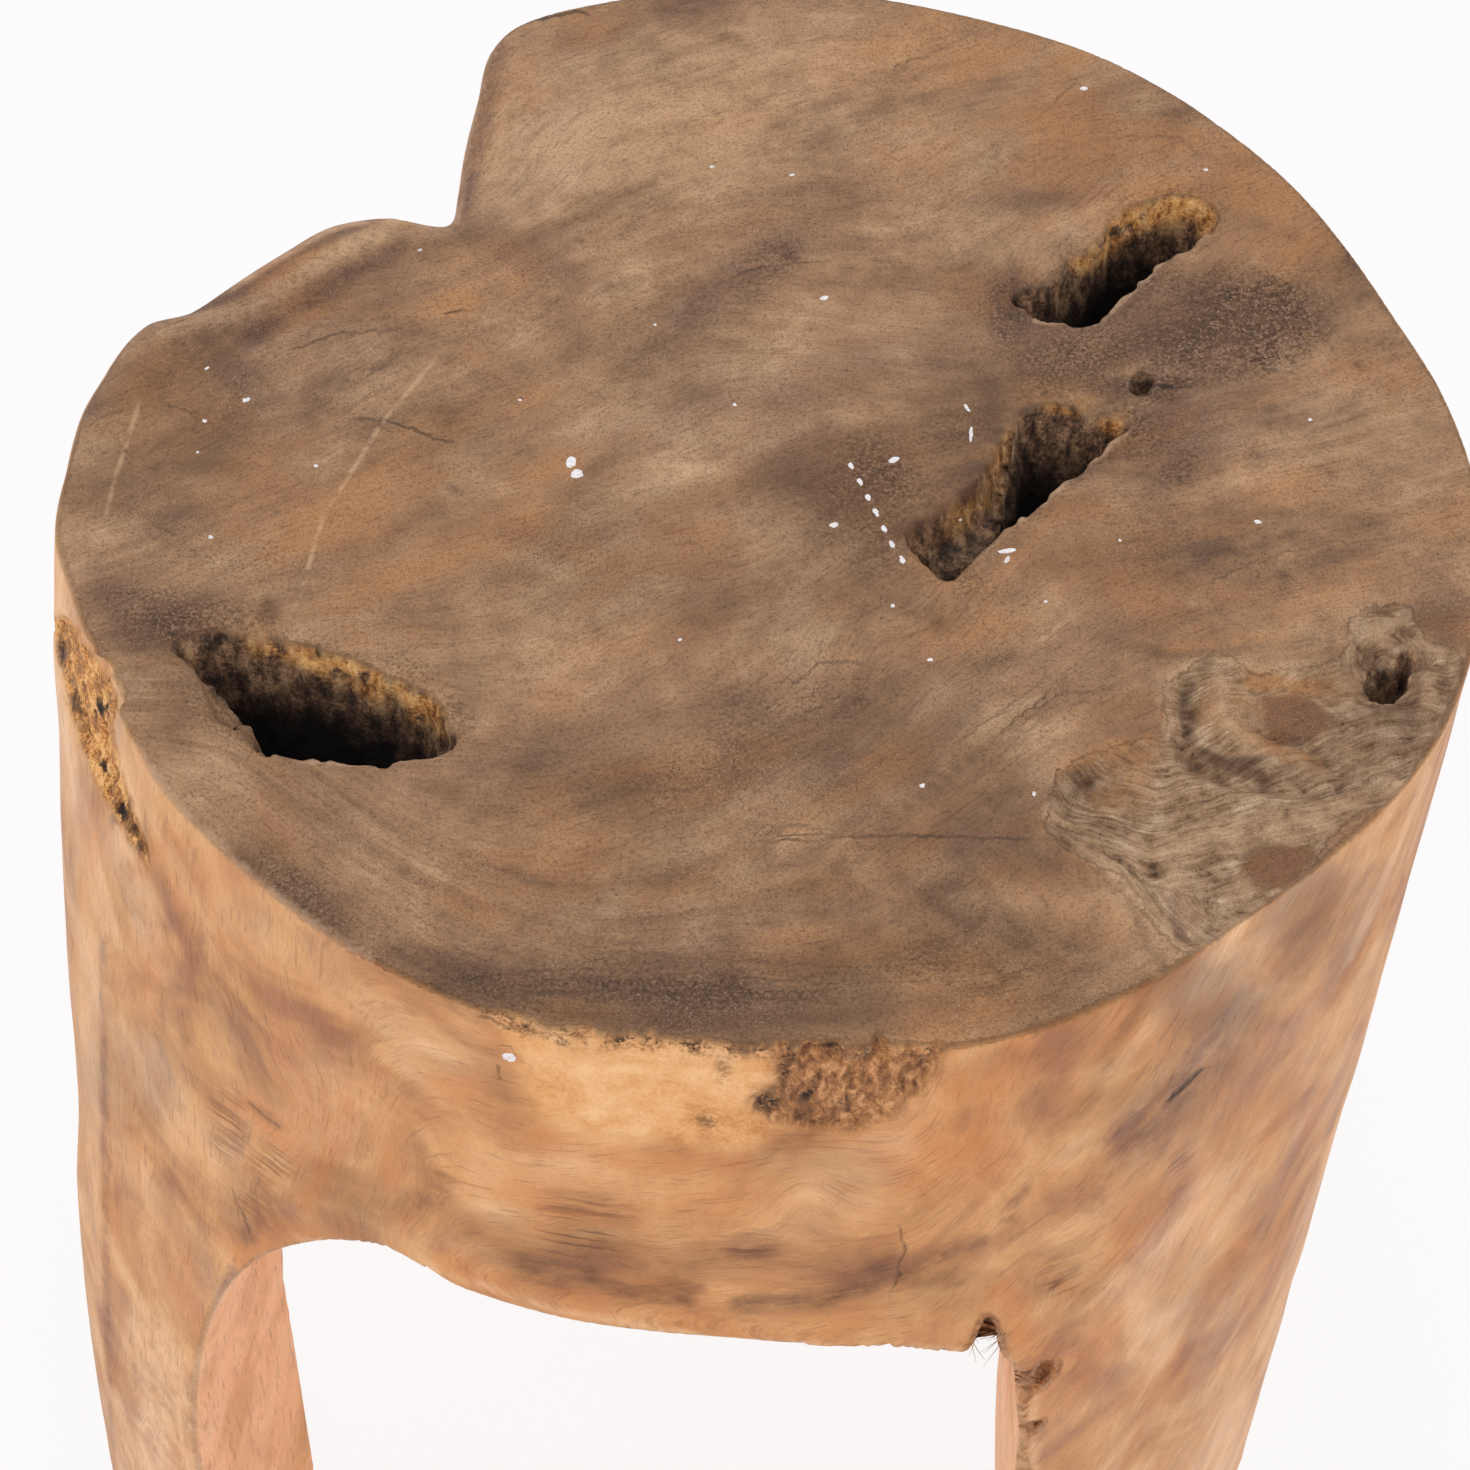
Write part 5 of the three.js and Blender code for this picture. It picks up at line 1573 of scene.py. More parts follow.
    def pores(self, colour):
        """Fine dark lines and pores of the wood, and pale dust in it."""
        seat, dust = self.seat, self.dust
        threads = self.times(self.span(self.thread, 0.56, 0.7, 0.0, 0.4), self.span(self.middle, 0.42, 0.58))
        specks = self.times(self.span(self.grit, 0.50, 0.66, 0.0, 0.5), self.span(seat, 0, 1, 0.3, 1.0))
        pores = self.times(self.span(dust, 0.42, 0.30, 0.0, 0.6), self.span(seat, 0, 1, 0.15, 1.0))
        colour = self.tint(self.span(self.fine, 0.55, 0.68, 0.0, 0.4), colour, 170, 150, 142)
        colour = self.tint(threads, colour, 160, 142, 134)
        colour = self.tint(specks, colour, 158, 146, 142)
        colour = self.tint(pores, colour, 168, 156, 150)
        pale = self.times(self.span(dust, 0.62, 0.72, 0.0, 0.35), seat, self.span(self.blotch, 0.4, 0.6))
        return self.mix(pale, colour, tone(206, 186, 168))

    def rasp_marks(self):
        """Level scores of a rasp."""
        level = self.times(self.node("ShaderNodeSeparateXYZ", {0: self.place}).outputs["Z"], 1000.0)
        scores = self.streaks(self.total(level, self.times(self.blotch, 9.0)), 0.55, 24, 1)
        return self.times(self.span(scores, 0.47, 0.58), self.mark("rasped"))

    def crack_marks(self):
        """Cracks with a wavering edge."""
        wavering = self.total(self.mark("crack"), self.span(self.mottle, 0.3, 0.7, -3.0, 3.0))
        width = self.span(self.maths("ABSOLUTE", wavering), 0.4, 1.8, 1.0, 0.0)
        return self.times(width, self.mark("crack_depth"), self.vary)

    def scratches(self, colour):
        """Pale scratches of the seat."""
        width = self.span(self.maths("ABSOLUTE", self.mark("scratch")), 0.8, 3.6, 1.0, 0.0)
        scratch = self.times(width, self.mark("scratch_depth"), self.span(self.mottle, 0.4, 0.6))
        return self.mix(self.times(scratch, 0.8), colour, self.look.seat_pale)

    def broken_wood(self, colour):
        """Old bark, torn wood, the crumbling seam and the bites."""
        look, crumbs, mottle, blotch = self.look, self.crumbs, self.mottle, self.blotch
        bark, torn, seam, dark = (self.mark(name) for name in ("bark", "torn", "seam", "dark"))
        bark_colour = self.ramp(self.span(self.blend((crumbs, 0.5), (self.marbled, 0.5)), 0.40, 0.60),
                                (0.0, tone(196, 134, 80)), (0.4, look.bark_pale), (1.0, tone(242, 194, 142)))
        torn_value = self.blend((self.noise(420, 4, 0.7, (1.0, 1.0, 0.5), 0.6), 0.6), (mottle, 0.2),
                                (blotch, 0.2))
        torn_colour = self.ramp(self.span(torn_value, 0.40, 0.60), (0.0, tone(88, 58, 40)),
                                (0.3, tone(134, 90, 57)), (0.7, tone(182, 128, 82)),
                                (1.0, tone(214, 160, 112)))
        crumb_colour = self.ramp(self.span(crumbs, 0.40, 0.58), (0.0, look.crevice),
                                 (0.45, tone(112, 72, 46)), (0.8, tone(176, 118, 72)),
                                 (1.0, tone(226, 160, 92)))
        seam_colour = self.ramp(self.span(crumbs, 0.40, 0.58), (0.0, look.crevice),
                                (0.25, tone(150, 96, 54)), (0.6, tone(216, 152, 86)),
                                (1.0, tone(242, 192, 128)))
        bite_colour = self.ramp(self.span(self.blend((mottle, 0.6), (self.grit, 0.4)), 0.42, 0.58),
                                (0.0, tone(120, 74, 46)), (0.5, tone(168, 108, 68)),
                                (1.0, tone(204, 146, 100)))
        holes = self.times(self.maths("MAXIMUM", torn, bark), dark, self.span(crumbs, 0.56, 0.46))
        crumbly = self.times(self.mark("crumbly"), self.span(crumbs, 0.44, 0.50, 1.0, 0.3))

        colour = self.mix(self.times(bark, self.span(blotch, 0.36, 0.5, 0.6, 1.0)), colour, bark_colour)
        colour = self.mix(self.times(torn, self.span(blotch, 0.34, 0.5, 0.55, 0.95)), colour, torn_colour)
        colour = self.mix(holes, colour, look.crevice)
        colour = self.mix(crumbly, colour, crumb_colour)
        colour = self.mix(self.times(seam, self.span(mottle, 0.35, 0.5, 0.5, 1.0)), colour, seam_colour)
        colour = self.mix(self.times(seam, dark, self.span(mottle, 0.56, 0.48)), colour, look.crevice)
        return self.mix(self.times(self.mark("bite"), 0.9), colour, bite_colour)

    def hollows(self, colour):
        """Walls of the hollows: golden fibres at the mouth, partly a painted pool of light, and painted
        shade darkening them to near black below.
        """
        mottle = self.mottle
        deep = self.total(self.mark("depth"), self.span(mottle, 0.3, 0.7, -0.05, 0.05))
        wall = self.blend((self.noise(260, 3, 0.6, (1.0, 1.0, 0.35)), 0.6), (self.grit, 0.4))
        wall_colour = self.ramp(self.span(wall, 0.40, 0.60), (0.0, tone(56, 42, 36)),
                                (0.5, tone(116, 86, 66)), (1.0, tone(176, 138, 104)))
        gold_colour = self.ramp(self.span(wall, 0.38, 0.60), (0.0, tone(126, 78, 42)),
                                (0.4, tone(214, 150, 86)), (1.0, tone(248, 196, 132)))
        # partly painted light: the gold is brightest high on the far walls, where light falls, and fades
        # with depth
        gold = self.times(self.mark("gold"), self.span(deep, 0.10, 0.20, 1.0, 0.0),
                          self.span(mottle, 0.36, 0.46))
        inside = self.mix(gold, wall_colour, gold_colour)
        # painted shade: the walls darken to near black with depth
        inside = self.mix(self.span(deep, 0.10, 0.28), inside, tone(24, 19, 17))
        colour = self.mix(self.maths("MAXIMUM", self.mark("pit"), self.mark("slope")), colour, inside)
        mouth = self.times(self.mark("gold"), self.mark("crust"), self.span(mottle, 0.44, 0.54), 0.5)
        colour = self.mix(mouth, colour, gold_colour)
        return self.mix(self.times(self.mark("lip"), self.span(mottle, 0.40, 0.56, 0.3, 0.9)), colour,
                        self.look.edge_wear_and_highlight)

    def edges(self, colour):
        """Painted shade in the folds, painted highlight on the ridges and along the arrises, and the pale
        rim, partly wear and partly painted highlight.
        """
        fold, mottle = self.mark("fold"), self.mottle
        # painted shade: concave folds of the rough wood are darkened
        folds = self.times(self.span(fold, 0.1, 0.7, 0.0, 0.7), self.span(self.rough, 0, 0.6, 0.3, 1.0))
        # painted highlight: convex ridges of the rough wood, away from the hollows' depths, are paled
        ridges = self.times(self.span(fold, -0.15, -0.9), self.rough, self.opposite(self.mark("depth")), 0.4)
        # the rim's pale line: partly wear, partly painted highlight
        rim = self.times(self.mark("rim"), self.span(mottle, 0.42, 0.58, 0.3, 0.8))
        # painted highlight along the arrises
        arris = self.times(self.mark("arris"), self.span(mottle, 0.42, 0.58, 0.1, 0.5))
        colour = self.mix(ridges, self.tint(folds, colour, 96, 80, 74), tone(206, 176, 144))
        colour = self.mix(rim, colour, self.look.edge_wear_and_highlight)
        return self.mix(arris, colour, self.look.cut_pale)

    def finished(self):
        """The material, with its colour, gloss and fine relief."""
        rasps, cracks = self.rasp_marks(), self.crack_marks()
        colour = self.pores(self.stains(self.pocket_wood(self.sawn_wood())))
        colour = self.tint(self.times(rasps, 0.75), colour, 176, 150, 138)
        colour = self.scratches(self.mix(self.times(cracks, 0.8), colour, self.look.crevice))
        colour = self.edges(self.hollows(self.broken_wood(colour)))
        roughness = self.total(self.blend((self.seat, 0.12), (self.cut, 0.15), (self.rough, 0.3)),
                               self.span(self.blotch, 0.35, 0.65, 0.40, 0.56))
        height = self.total(self.blend((self.thread, 0.12), (self.fine, 0.3)),
                            self.times(self.grit, self.span(self.rough, 0, 1, 0.2, 1.0)),
                            self.times(self.mottle, self.span(self.rough, 0, 1, 0.4, 1.8)),
                            self.blend((cracks, -1.0), (rasps, -0.5)),
                            self.times(self.crust, self.grit, 0.9))
        return self.done(colour, self.maths("MINIMUM", roughness, 0.95), self.bump(height, 0.0008),
                         Specular_IOR_Level=0.24)


def nylon_finish():
    """Brown moulded nylon."""
    f = Finish("glide_nylon")
    colour = f.ramp(f.noise(60, 3), (0.3, tone(66, 47, 33)), (0.7, tone(84, 60, 42)))
    height = f.total(f.noise(2600, 2), f.times(f.noise(300, 2), 0.6))
    return f.done(colour, f.span(f.noise(420, 2), 0.3, 0.7, 0.38, 0.52), f.bump(height, 0.00008))


def felt_finish():
    """Brown pressed felt."""
    f = Finish("glide_felt")
    fibre = f.noise(900, 4, 0.7)
    colour = f.ramp(f.total(f.times(fibre, 0.7), f.times(f.noise(90, 2), 0.3)), (0.35, tone(84, 58, 40)),
                    (0.65, tone(134, 98, 70)))
    return f.done(colour, f.span(fibre, 0.3, 0.7, 0.86, 1.0), f.bump(fibre, 0.0005), Sheen_Weight=0.3)


def steel_finish():
    """Bright drawn wire."""
    f = Finish("nail_steel")
    drawn = f.noise(900, 2, stretch=(1.0, 1.0, 0.04))
    colour = f.ramp(drawn, (0.3, tone(160, 162, 164)), (0.7, tone(206, 207, 208)))
    return f.done(colour, f.span(drawn, 0.3, 0.7, 0.28, 0.42), f.bump(drawn, 0.00004), Metallic=1.0)


def limewash_finish():
    """Dried limewash."""
    f = Finish("limewash")
    chalk = f.noise(1400, 3, 0.6)
    colour = f.ramp(chalk, (0.3, tone(206, 198, 198)), (0.6, tone(240, 236, 238)))
    return f.done(colour, f.span(chalk, 0.3, 0.7, 0.75, 0.95), f.bump(chalk, 0.0002))


def fibre_finish():
    """Loose fibres of the hardwood."""
    f = Finish("loose_fibre")
    colour = f.ramp(f.noise(500, 2), (0.3, tone(120, 84, 60)), (0.7, tone(206, 170, 134)))
    return f.done(colour, f.span(f.noise(900, 1), 0.3, 0.7, 0.6, 0.8), f.bump(f.noise(2500, 1), 0.0001))


# Pieces

def add_piece(name, mesh, material):
    """A mesh as a piece of the scene."""
    mesh.name = name
    mesh.materials.clear()
    mesh.materials.append(material)
    piece = bpy.data.objects.new(name, mesh)
    bpy.context.scene.collection.objects.link(piece)
    return piece


def log_mesh(points, faces, marks):
    """The log's mesh with its marks as attributes."""
    mesh = bpy.data.meshes.new("log")
    mesh.vertices.add(len(points))
    mesh.vertices.foreach_set("co", ((points + SEAT_MIDDLE) * MM).ravel())
    mesh.loops.add(faces.size)
    mesh.loops.foreach_set("vertex_index", faces.ravel().astype(np.int32))
    mesh.polygons.add(len(faces))
    mesh.polygons.foreach_set("loop_start", np.arange(0, faces.size, 3, dtype=np.int32))
    mesh.update(calc_edges=True)
    mesh.validate()
    for name, values in marks.items():
        mesh.attributes.new(name, "FLOAT", "POINT").data.foreach_set("value", values.astype(np.float32))
    mesh.shade_smooth()
    return mesh


def surface_hits(target, pixels):
    """Where sight lines through pixels of the photograph meet a piece, in metres, and the way out there."""
    tree = BVHTree.FromObject(target, bpy.context.evaluated_depsgraph_get())
    start = Vector((CAMERA_PLACE + SEAT_MIDDLE) * MM)
    return [tree.ray_cast(start, Vector(ray).normalized())[:2] for ray in sight_lines(pixels)]


class Tree(Builder):
    """A Geometry Nodes group with named inputs."""

    def __init__(self, name, inputs):
        super().__init__(bpy.data.node_groups.new(name, "GeometryNodeTree"))
        face = self.tree.interface
        face.new_socket("Geometry", in_out="INPUT", socket_type="NodeSocketGeometry")
        self.sockets = {label: face.new_socket(label, in_out="INPUT", socket_type=kind)
                        for label, kind in inputs.items()}
        face.new_socket("Geometry", in_out="OUTPUT", socket_type="NodeSocketGeometry")
        self.start = self.node("NodeGroupInput")

    def named(self, name, kind):
        return self.node("GeometryNodeInputNamedAttribute", {"Name": name}, data_type=kind).outputs[0]

    def finish(self, geometry, material):
        real = self.node("GeometryNodeRealizeInstances", {0: geometry}).outputs[0]
        painted = self.node("GeometryNodeSetMaterial", {0: real, "Material": material}).outputs[0]
        self.node("NodeGroupOutput", {0: painted})

    def bake(self, mesh, name, material, **values):
        """Runs the tree on a mesh and returns the result as a plain piece."""
        carrier = bpy.data.objects.new(name + "_source", mesh)
        bpy.context.scene.collection.objects.link(carrier)
        modifier = carrier.modifiers.new(name, "NODES")
        modifier.node_group = self.tree
        for label, value in values.items():
            modifier[self.sockets[label.replace("_", " ")].identifier] = value
        graph = bpy.context.evaluated_depsgraph_get()
        result = bpy.data.meshes.new_from_object(carrier.evaluated_get(graph))
        carrier.modifiers.remove(modifier)
        bpy.data.objects.remove(carrier)
        return add_piece(name, result, material)


def fleck_tree(material):
    """Ragged flat flakes on points that carry their turn and size."""
    t = Tree("limewash_flecks", {"Raggedness": "NodeSocketFloat", "Lump Scale": "NodeSocketFloat"})
    flake = t.node("GeometryNodeMeshIcoSphere", {"Radius": 1.0, "Subdivisions": 3}).outputs[0]
    flakes = t.node("GeometryNodeInstanceOnPoints", {
        "Points": t.start.outputs["Geometry"], "Instance": flake,
        "Rotation": t.named("turn", "FLOAT_VECTOR"), "Scale": t.named("size", "FLOAT_VECTOR")}).outputs[0]
    real = t.node("GeometryNodeRealizeInstances", {0: flakes}).outputs[0]
    place = t.node("GeometryNodeInputPosition").outputs[0]
    noise = t.node("ShaderNodeTexNoise", {"Vector": place, "Scale": t.start.outputs["Lump Scale"],
                                          "Detail": 2.0}).outputs["Color"]
    centred = t.node("ShaderNodeVectorMath", {0: noise, 1: (0.5, 0.5, 0.5)}, operation="SUBTRACT").outputs[0]
    moved = t.node("ShaderNodeVectorMath", {0: centred, "Scale": t.start.outputs["Raggedness"]},
                   operation="SCALE").outputs[0]
    ragged = t.node("GeometryNodeSetPosition", {"Geometry": real, "Offset": moved}).outputs[0]
    t.finish(ragged, material)
    return t


def fibre_tree(material):
    """Round tapering fibres along edges that carry their thickness."""
    t = Tree("wood_fibres", {"Fibre Radius": "NodeSocketFloat", "Sides": "NodeSocketInt"})
    curve = t.node("GeometryNodeMeshToCurve", {0: t.start.outputs["Geometry"]}).outputs[0]
    thick = t.node("ShaderNodeMath", {0: t.named("thickness", "FLOAT"), 1: t.start.outputs["Fibre Radius"]},
                   operation="MULTIPLY").outputs[0]
    ring = t.node("GeometryNodeCurvePrimitiveCircle", {"Resolution": t.start.outputs["Sides"],
                                                       "Radius": 1.0}).outputs[0]
    tube = t.node("GeometryNodeCurveToMesh", {"Curve": curve, "Profile Curve": ring, "Scale": thick,
                                              "Fill Caps": True}).outputs[0]
    t.finish(tube, material)
    return t


# Settings that a user would change

def length_setting(name, description, default):
    """A length that a user would change."""
    return bpy.props.FloatProperty(name=name, description=description, default=default, min=0.0,
                                   unit="LENGTH", subtype="DISTANCE", precision=4)


def colour_setting(name, description, default):
    """A colour that a user would change."""
    return bpy.props.FloatVectorProperty(name=name, description=description, default=default, size=4,
                                         min=0.0, max=1.0, subtype="COLOR")


class LogStoolForm(bpy.types.PropertyGroup):
    voxel: length_setting("Base Net", "Cell of the even net that the carving starts from", 0.0065)
    seat_edge: length_setting("Seat Detail", "Longest mesh edge on the seat", 0.0042)
    side_edge: length_setting("Side Detail", "Longest mesh edge on the front side", 0.005)
    rest_edge: length_setting("Other Detail", "Longest mesh edge elsewhere", 0.009)
    coarseness: bpy.props.FloatProperty(name="Coarseness", description="Scales every length of the mesh",
                                        default=1.22, min=0.5, max=4.0)
    rim_rounding: length_setting("Rim Rounding", "Width of the worn rim", 0.0022)
    lobe_rounding: length_setting("Lobe Rounding", "Width of the rolled lip beside the notch", 0.008)
    arris_rounding: length_setting("Arris Rounding", "Width of the eased edges of the slots", 0.0032)
    rounds: bpy.props.IntProperty(name="Rounds", description="How many times the net is refined",
                                  default=5, min=1, max=8)


class LogStoolLook(bpy.types.PropertyGroup):
    seat_dark: colour_setting("Seat Dark", "Darkest streaks of the seat", tone(98, 72, 54))
    seat_brown: colour_setting("Seat Brown", "Brown of the seat", tone(138, 103, 75))
    seat_tan: colour_setting("Seat Tan", "Light brown of the seat", tone(165, 127, 94))
    seat_pale: colour_setting("Seat Pale", "Palest streaks of the seat", tone(198, 161, 125))
    seat_orange: colour_setting("Seat Orange", "Warm stains of the seat", tone(182, 128, 80))
    # The side's colours are lighter than the seat's, partly for its paler wood and partly as painted light
    # falling on the front
    side_dark: colour_setting("Side Dark", "Darkest streaks of the side", tone(164, 108, 70))
    side_brown: colour_setting("Side Brown", "Brown of the side", tone(200, 143, 90))
    side_tan: colour_setting("Side Tan", "Tan of the side", tone(218, 164, 110))
    side_pale: colour_setting("Side Pale", "Palest streaks of the side", tone(236, 190, 144))
    side_orange: colour_setting("Side Orange", "Warm stains of the side", tone(208, 134, 74))
    cut_tan: colour_setting("Cut Tan", "Sawn faces of the slots", tone(250, 198, 152))
    # Cut Pale also paints the highlight along the arrises
    cut_pale: colour_setting("Cut Pale", "Palest streaks of the sawn faces", tone(254, 216, 178))
    # Edge Pale also paints the highlight along the worn rim
    edge_wear_and_highlight: colour_setting("Edge Pale", "Worn edges", tone(196, 158, 128))
    crevice: colour_setting("Crevice", "Cracks and crevices", tone(46, 33, 28))
    rough_dark: colour_setting("Rough Dark", "Dark of the rough pocket", tone(92, 68, 52))
    rough_brown: colour_setting("Rough Brown", "Brown of the rough pocket", tone(150, 117, 88))
    rough_pale: colour_setting("Rough Pale", "Pale fibres of the rough pocket", tone(180, 149, 119))
    worn_brown: colour_setting("Worn Brown", "Ovals sanded smooth in the pocket", tone(124, 86, 62))
    bark_pale: colour_setting("Old Bark", "Punky old bark at the front", tone(226, 166, 106))


class LogStoolStage(bpy.types.PropertyGroup):
    dome: bpy.props.FloatProperty(name="Dome", description="Light from all round", default=1.0, min=0.0)
    left_power: bpy.props.FloatProperty(name="Left Lamp", description="Power of the soft lamp at the left",
                                        default=3.5, min=0.0, unit="POWER")
    front_power: bpy.props.FloatProperty(name="Front Lamp", description="Power of the soft lamp in front",
                                         default=4.0, min=0.0, unit="POWER")
    right_power: bpy.props.FloatProperty(name="Right Lamp",
                                         description="Power of the soft lamp at the right",
                                         default=2.5, min=0.0, unit="POWER")
    floor_reach: length_setting("Floor", "Half width of the floor", 4.0)


class LOGSTOOL_OT_carve_log(bpy.types.Operator):
    """Carve the log's fine surface and give it its hardwood finish"""
    bl_idname = "logstool.carve_log"
    bl_label = "Carve Log"

    def execute(self, context):
        settings = context.scene.log_stool_form
        form = LogForm(settings.rim_rounding / MM, settings.lobe_rounding / MM, settings.arris_rounding / MM)
        points, faces = carve(form, settings)
        if len(faces) > MOST_TRIANGLES:
            raise RuntimeError(f"the log has {len(faces)} triangles, more than {MOST_TRIANGLES}")
        material = Hardwood(context.scene.log_stool_look).finished()
        log = add_piece("log", log_mesh(points, faces, log_marks(form, points, faces)), material)
        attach(log, "root")
        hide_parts("carved_log")
        return {"FINISHED"}


class LOGSTOOL_OT_scatter_flecks(bpy.types.Operator):
    """Scatter the flecks of dried limewash over the log"""
    bl_idname = "logstool.scatter_flecks"
    bl_label = "Scatter Flecks"

    def execute(self, context):
        log = bpy.data.objects["log"]
        middles = [row[:2] for row in FLECKS]
        ends = [(x + 3 * math.cos(math.radians(turn)), y - 3 * math.sin(math.radians(turn)))
                for x, y, _, _, turn in FLECKS]
        places, turns, sizes = [], [], []
        for (place, out), (end, _), (_, _, long, short, _) in zip(
                surface_hits(log, middles), surface_hits(log, ends), FLECKS):
            if place is None or end is None:
                continue
            along = (end - place) - out * (end - place).dot(out)
            if along.length < 1e-6:
                continue
            along.normalize()
            turns.append(matrix_euler([list(axis) for axis in zip(along, out.cross(along), out)]))
            places.append(place)
            half = FLECK_PIXEL * MM / 2
            sizes.append((long * half, short * half * FLECK_SPREAD, FLECK_THICKNESS * MM))
        mesh = bpy.data.meshes.new("fleck_points")
        mesh.from_pydata(places, [], [])
        for name, rows in (("turn", turns), ("size", sizes)):
            mesh.attributes.new(name, "FLOAT_VECTOR", "POINT").data.foreach_set(
                "vector", np.array(rows, np.float32).ravel())
        material = limewash_finish()
        flecks = fleck_tree(material).bake(mesh, "limewash_flecks", material, Raggedness=1.1 * MM,
                                           Lump_Scale=900.0)
        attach(flecks, "root")
        return {"FINISHED"}


def matrix_euler(rows):
    """Turns about X, Y and Z of a matrix given by its rows."""
    y = math.asin(max(-1.0, min(1.0, -rows[2][0])))
    return math.atan2(rows[2][1], rows[2][2]), y, math.atan2(rows[1][0], rows[0][0])


class LOGSTOOL_OT_raise_fibres(bpy.types.Operator):
    """Raise the loose wood fibres at the ragged corner of the front arch"""
    bl_idname = "logstool.raise_fibres"
    bl_label = "Raise Fibres"

    def execute(self, context):
        chance = np.random.default_rng(71)
        vertices, edges, thickness = [], [], []
        for _ in range(FIBRES):
            angle = chance.uniform(-0.4, math.pi + 0.4)
            start = np.array(BITES[0][0]) + (5.4 * math.cos(angle), chance.uniform(-6, 4),
                                             5.8 * math.sin(angle))
            heading = np.array([-math.cos(angle) * 0.6 + chance.normal(0, 0.3), chance.normal(-0.2, 0.3),
                                -0.9 + chance.normal(0, 0.3)])
            reach = chance.uniform(2.5, 7.5)
            bend = chance.normal(0, 0.35, 3)
            for k in range(FIBRE_POINTS):
                share = k / (FIBRE_POINTS - 1)
                point = start + heading * reach * share + bend * reach * share ** 2
                vertices.append((point + SEAT_MIDDLE) * MM)
                thickness.append(1.0 - 0.75 * share)
                if k:
                    edges.append((len(vertices) - 2, len(vertices) - 1))
        mesh = bpy.data.meshes.new("fibre_lines")
        mesh.from_pydata(vertices, edges, [])
        mesh.attributes.new("thickness", "FLOAT", "POINT").data.foreach_set(
            "value", np.array(thickness, np.float32))
        material = fibre_finish()
        fibres = fibre_tree(material).bake(mesh, "loose_fibres", material, Fibre_Radius=0.16 * MM, Sides=5)
        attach(fibres, "root")
        return {"FINISHED"}


class LOGSTOOL_OT_dress_glides(bpy.types.Operator):
    """Give the nails, cups and felts of the floor glides their finishes"""
    bl_idname = "logstool.dress_glides"
    bl_label = "Dress Glides"

    def execute(self, context):
        finishes = {"nail": steel_finish(), "cup": nylon_finish(), "felt": felt_finish()}
        for leg in LEGS:
            for piece, material in finishes.items():
                for place in bpy.data.objects[f"glide_{piece}_{leg}"].material_slots:
                    place.material = material
        return {"FINISHED"}


class LOGSTOOL_OT_set_stage(bpy.types.Operator):
    """Set the floor, the soft studio light and the camera"""
    bl_idname = "logstool.set_stage"
    bl_label = "Set Stage"

    def execute(self, context):
        settings = context.scene.log_stool_stage
        reach = settings.floor_reach
        mesh = bpy.data.meshes.new("floor")
        corners = [(-reach, -reach, 0), (reach, -reach, 0), (reach, reach, 0), (-reach, reach, 0)]
        mesh.from_pydata(corners, [], [(0, 1, 2, 3)])
        floor = add_piece("floor", mesh, floor_finish())
        make_world(settings.dome)
        for name, place, size, power in LAMPS:
            lamp = bpy.data.lights.new(name, "AREA")
            lamp.size = size
            lamp.energy = getattr(settings, power)
            holder = bpy.data.objects.new(name, lamp)
            holder.location = place
            holder.rotation_euler = (LAMP_AIM - Vector(place)).to_track_quat("-Z", "Y").to_euler()
            context.scene.collection.objects.link(holder)
        camera = bpy.data.cameras.new("camera")
        camera.lens = LENS
        camera.sensor_width = FILM
        holder = bpy.data.objects.new("camera", camera)
        holder.location = (CAMERA_PLACE + SEAT_MIDDLE) * MM
        holder.rotation_euler = (math.radians(90) - CAMERA_ANGLE, 0, 0)
        context.scene.collection.objects.link(holder)
        context.scene.camera = holder
        context.scene.view_settings.view_transform = "Standard"
        return {"FINISHED"}


def floor_finish():
    """White floor that keeps the stool's shadow."""
    f = Finish("pale_floor")
    sheet = f.node("ShaderNodeBsdfDiffuse", {"Color": tone(236, 226, 230)}).outputs[0]
    glow = f.node("ShaderNodeEmission", {"Color": WHITE, "Strength": 1.0}).outputs[0]
    shader = f.node("ShaderNodeMixShader", {0: f.times(f.seen(), 0.84), 1: sheet, 2: glow}).outputs[0]
    f.node("ShaderNodeOutputMaterial", {"Surface": shader})
    return f.material


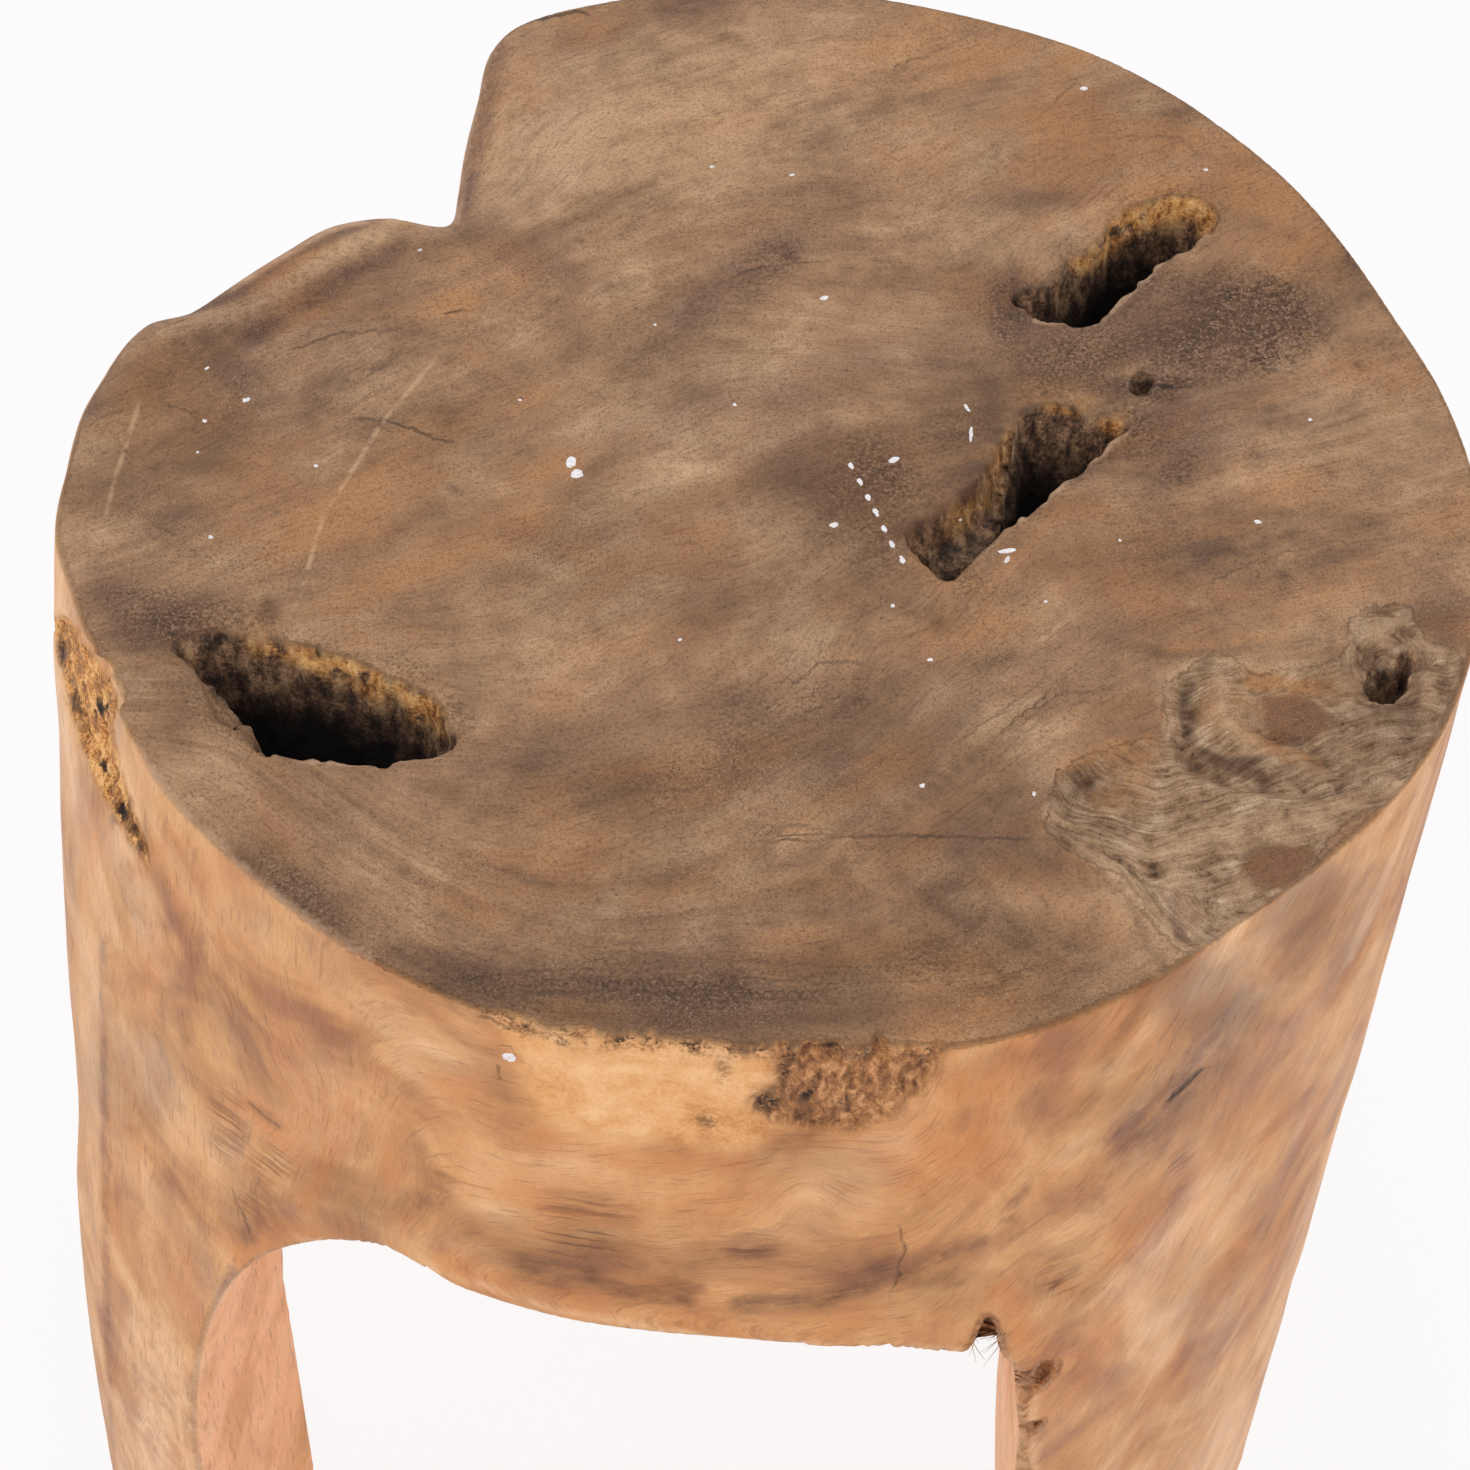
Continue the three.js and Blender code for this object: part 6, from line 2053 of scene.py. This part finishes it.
def make_world(dome):
    """White surroundings, whose light on the stool is set apart from what shows behind it."""
    world = bpy.data.worlds.new("studio")
    world.use_nodes = True
    b = Builder(world.node_tree)
    light = b.node("ShaderNodeBackground", {"Color": WHITE, "Strength": dome}).outputs[0]
    backdrop = b.node("ShaderNodeBackground", {"Color": WHITE, "Strength": 1.0}).outputs[0]
    either = b.node("ShaderNodeMixShader", {0: b.seen(), 1: light, 2: backdrop}).outputs[0]
    b.node("ShaderNodeOutputWorld", {"Surface": either})
    bpy.context.scene.world = world


OPERATORS = (LOGSTOOL_OT_carve_log, LOGSTOOL_OT_scatter_flecks, LOGSTOOL_OT_raise_fibres,
             LOGSTOOL_OT_dress_glides, LOGSTOOL_OT_set_stage)


class LOGSTOOL_PT_panel(bpy.types.Panel):
    """The steps of the log stool's finish"""
    bl_idname = "LOGSTOOL_PT_panel"
    bl_label = "Log Stool"
    bl_space_type = "VIEW_3D"
    bl_region_type = "UI"
    bl_category = "Log Stool"

    def draw(self, context):
        for group in (context.scene.log_stool_form, context.scene.log_stool_look,
                      context.scene.log_stool_stage):
            box = self.layout.box()
            for name in group.__annotations__:
                box.prop(group, name)
        for step in OPERATORS:
            self.layout.operator(step.bl_idname)


CLASSES = (LogStoolForm, LogStoolLook, LogStoolStage, *OPERATORS, LOGSTOOL_PT_panel)


def register():
    for item in CLASSES:
        bpy.utils.register_class(item)
    bpy.types.Scene.log_stool_form = bpy.props.PointerProperty(type=LogStoolForm)
    bpy.types.Scene.log_stool_look = bpy.props.PointerProperty(type=LogStoolLook)
    bpy.types.Scene.log_stool_stage = bpy.props.PointerProperty(type=LogStoolStage)


def unregister():
    del bpy.types.Scene.log_stool_form
    del bpy.types.Scene.log_stool_look
    del bpy.types.Scene.log_stool_stage
    for item in reversed(CLASSES):
        bpy.utils.unregister_class(item)


def main():
    register()
    bpy.ops.logstool.carve_log()
    bpy.ops.logstool.scatter_flecks()
    bpy.ops.logstool.raise_fibres()
    bpy.ops.logstool.dress_glides()
    bpy.ops.logstool.set_stage()


if __name__ == "__main__":
    main()
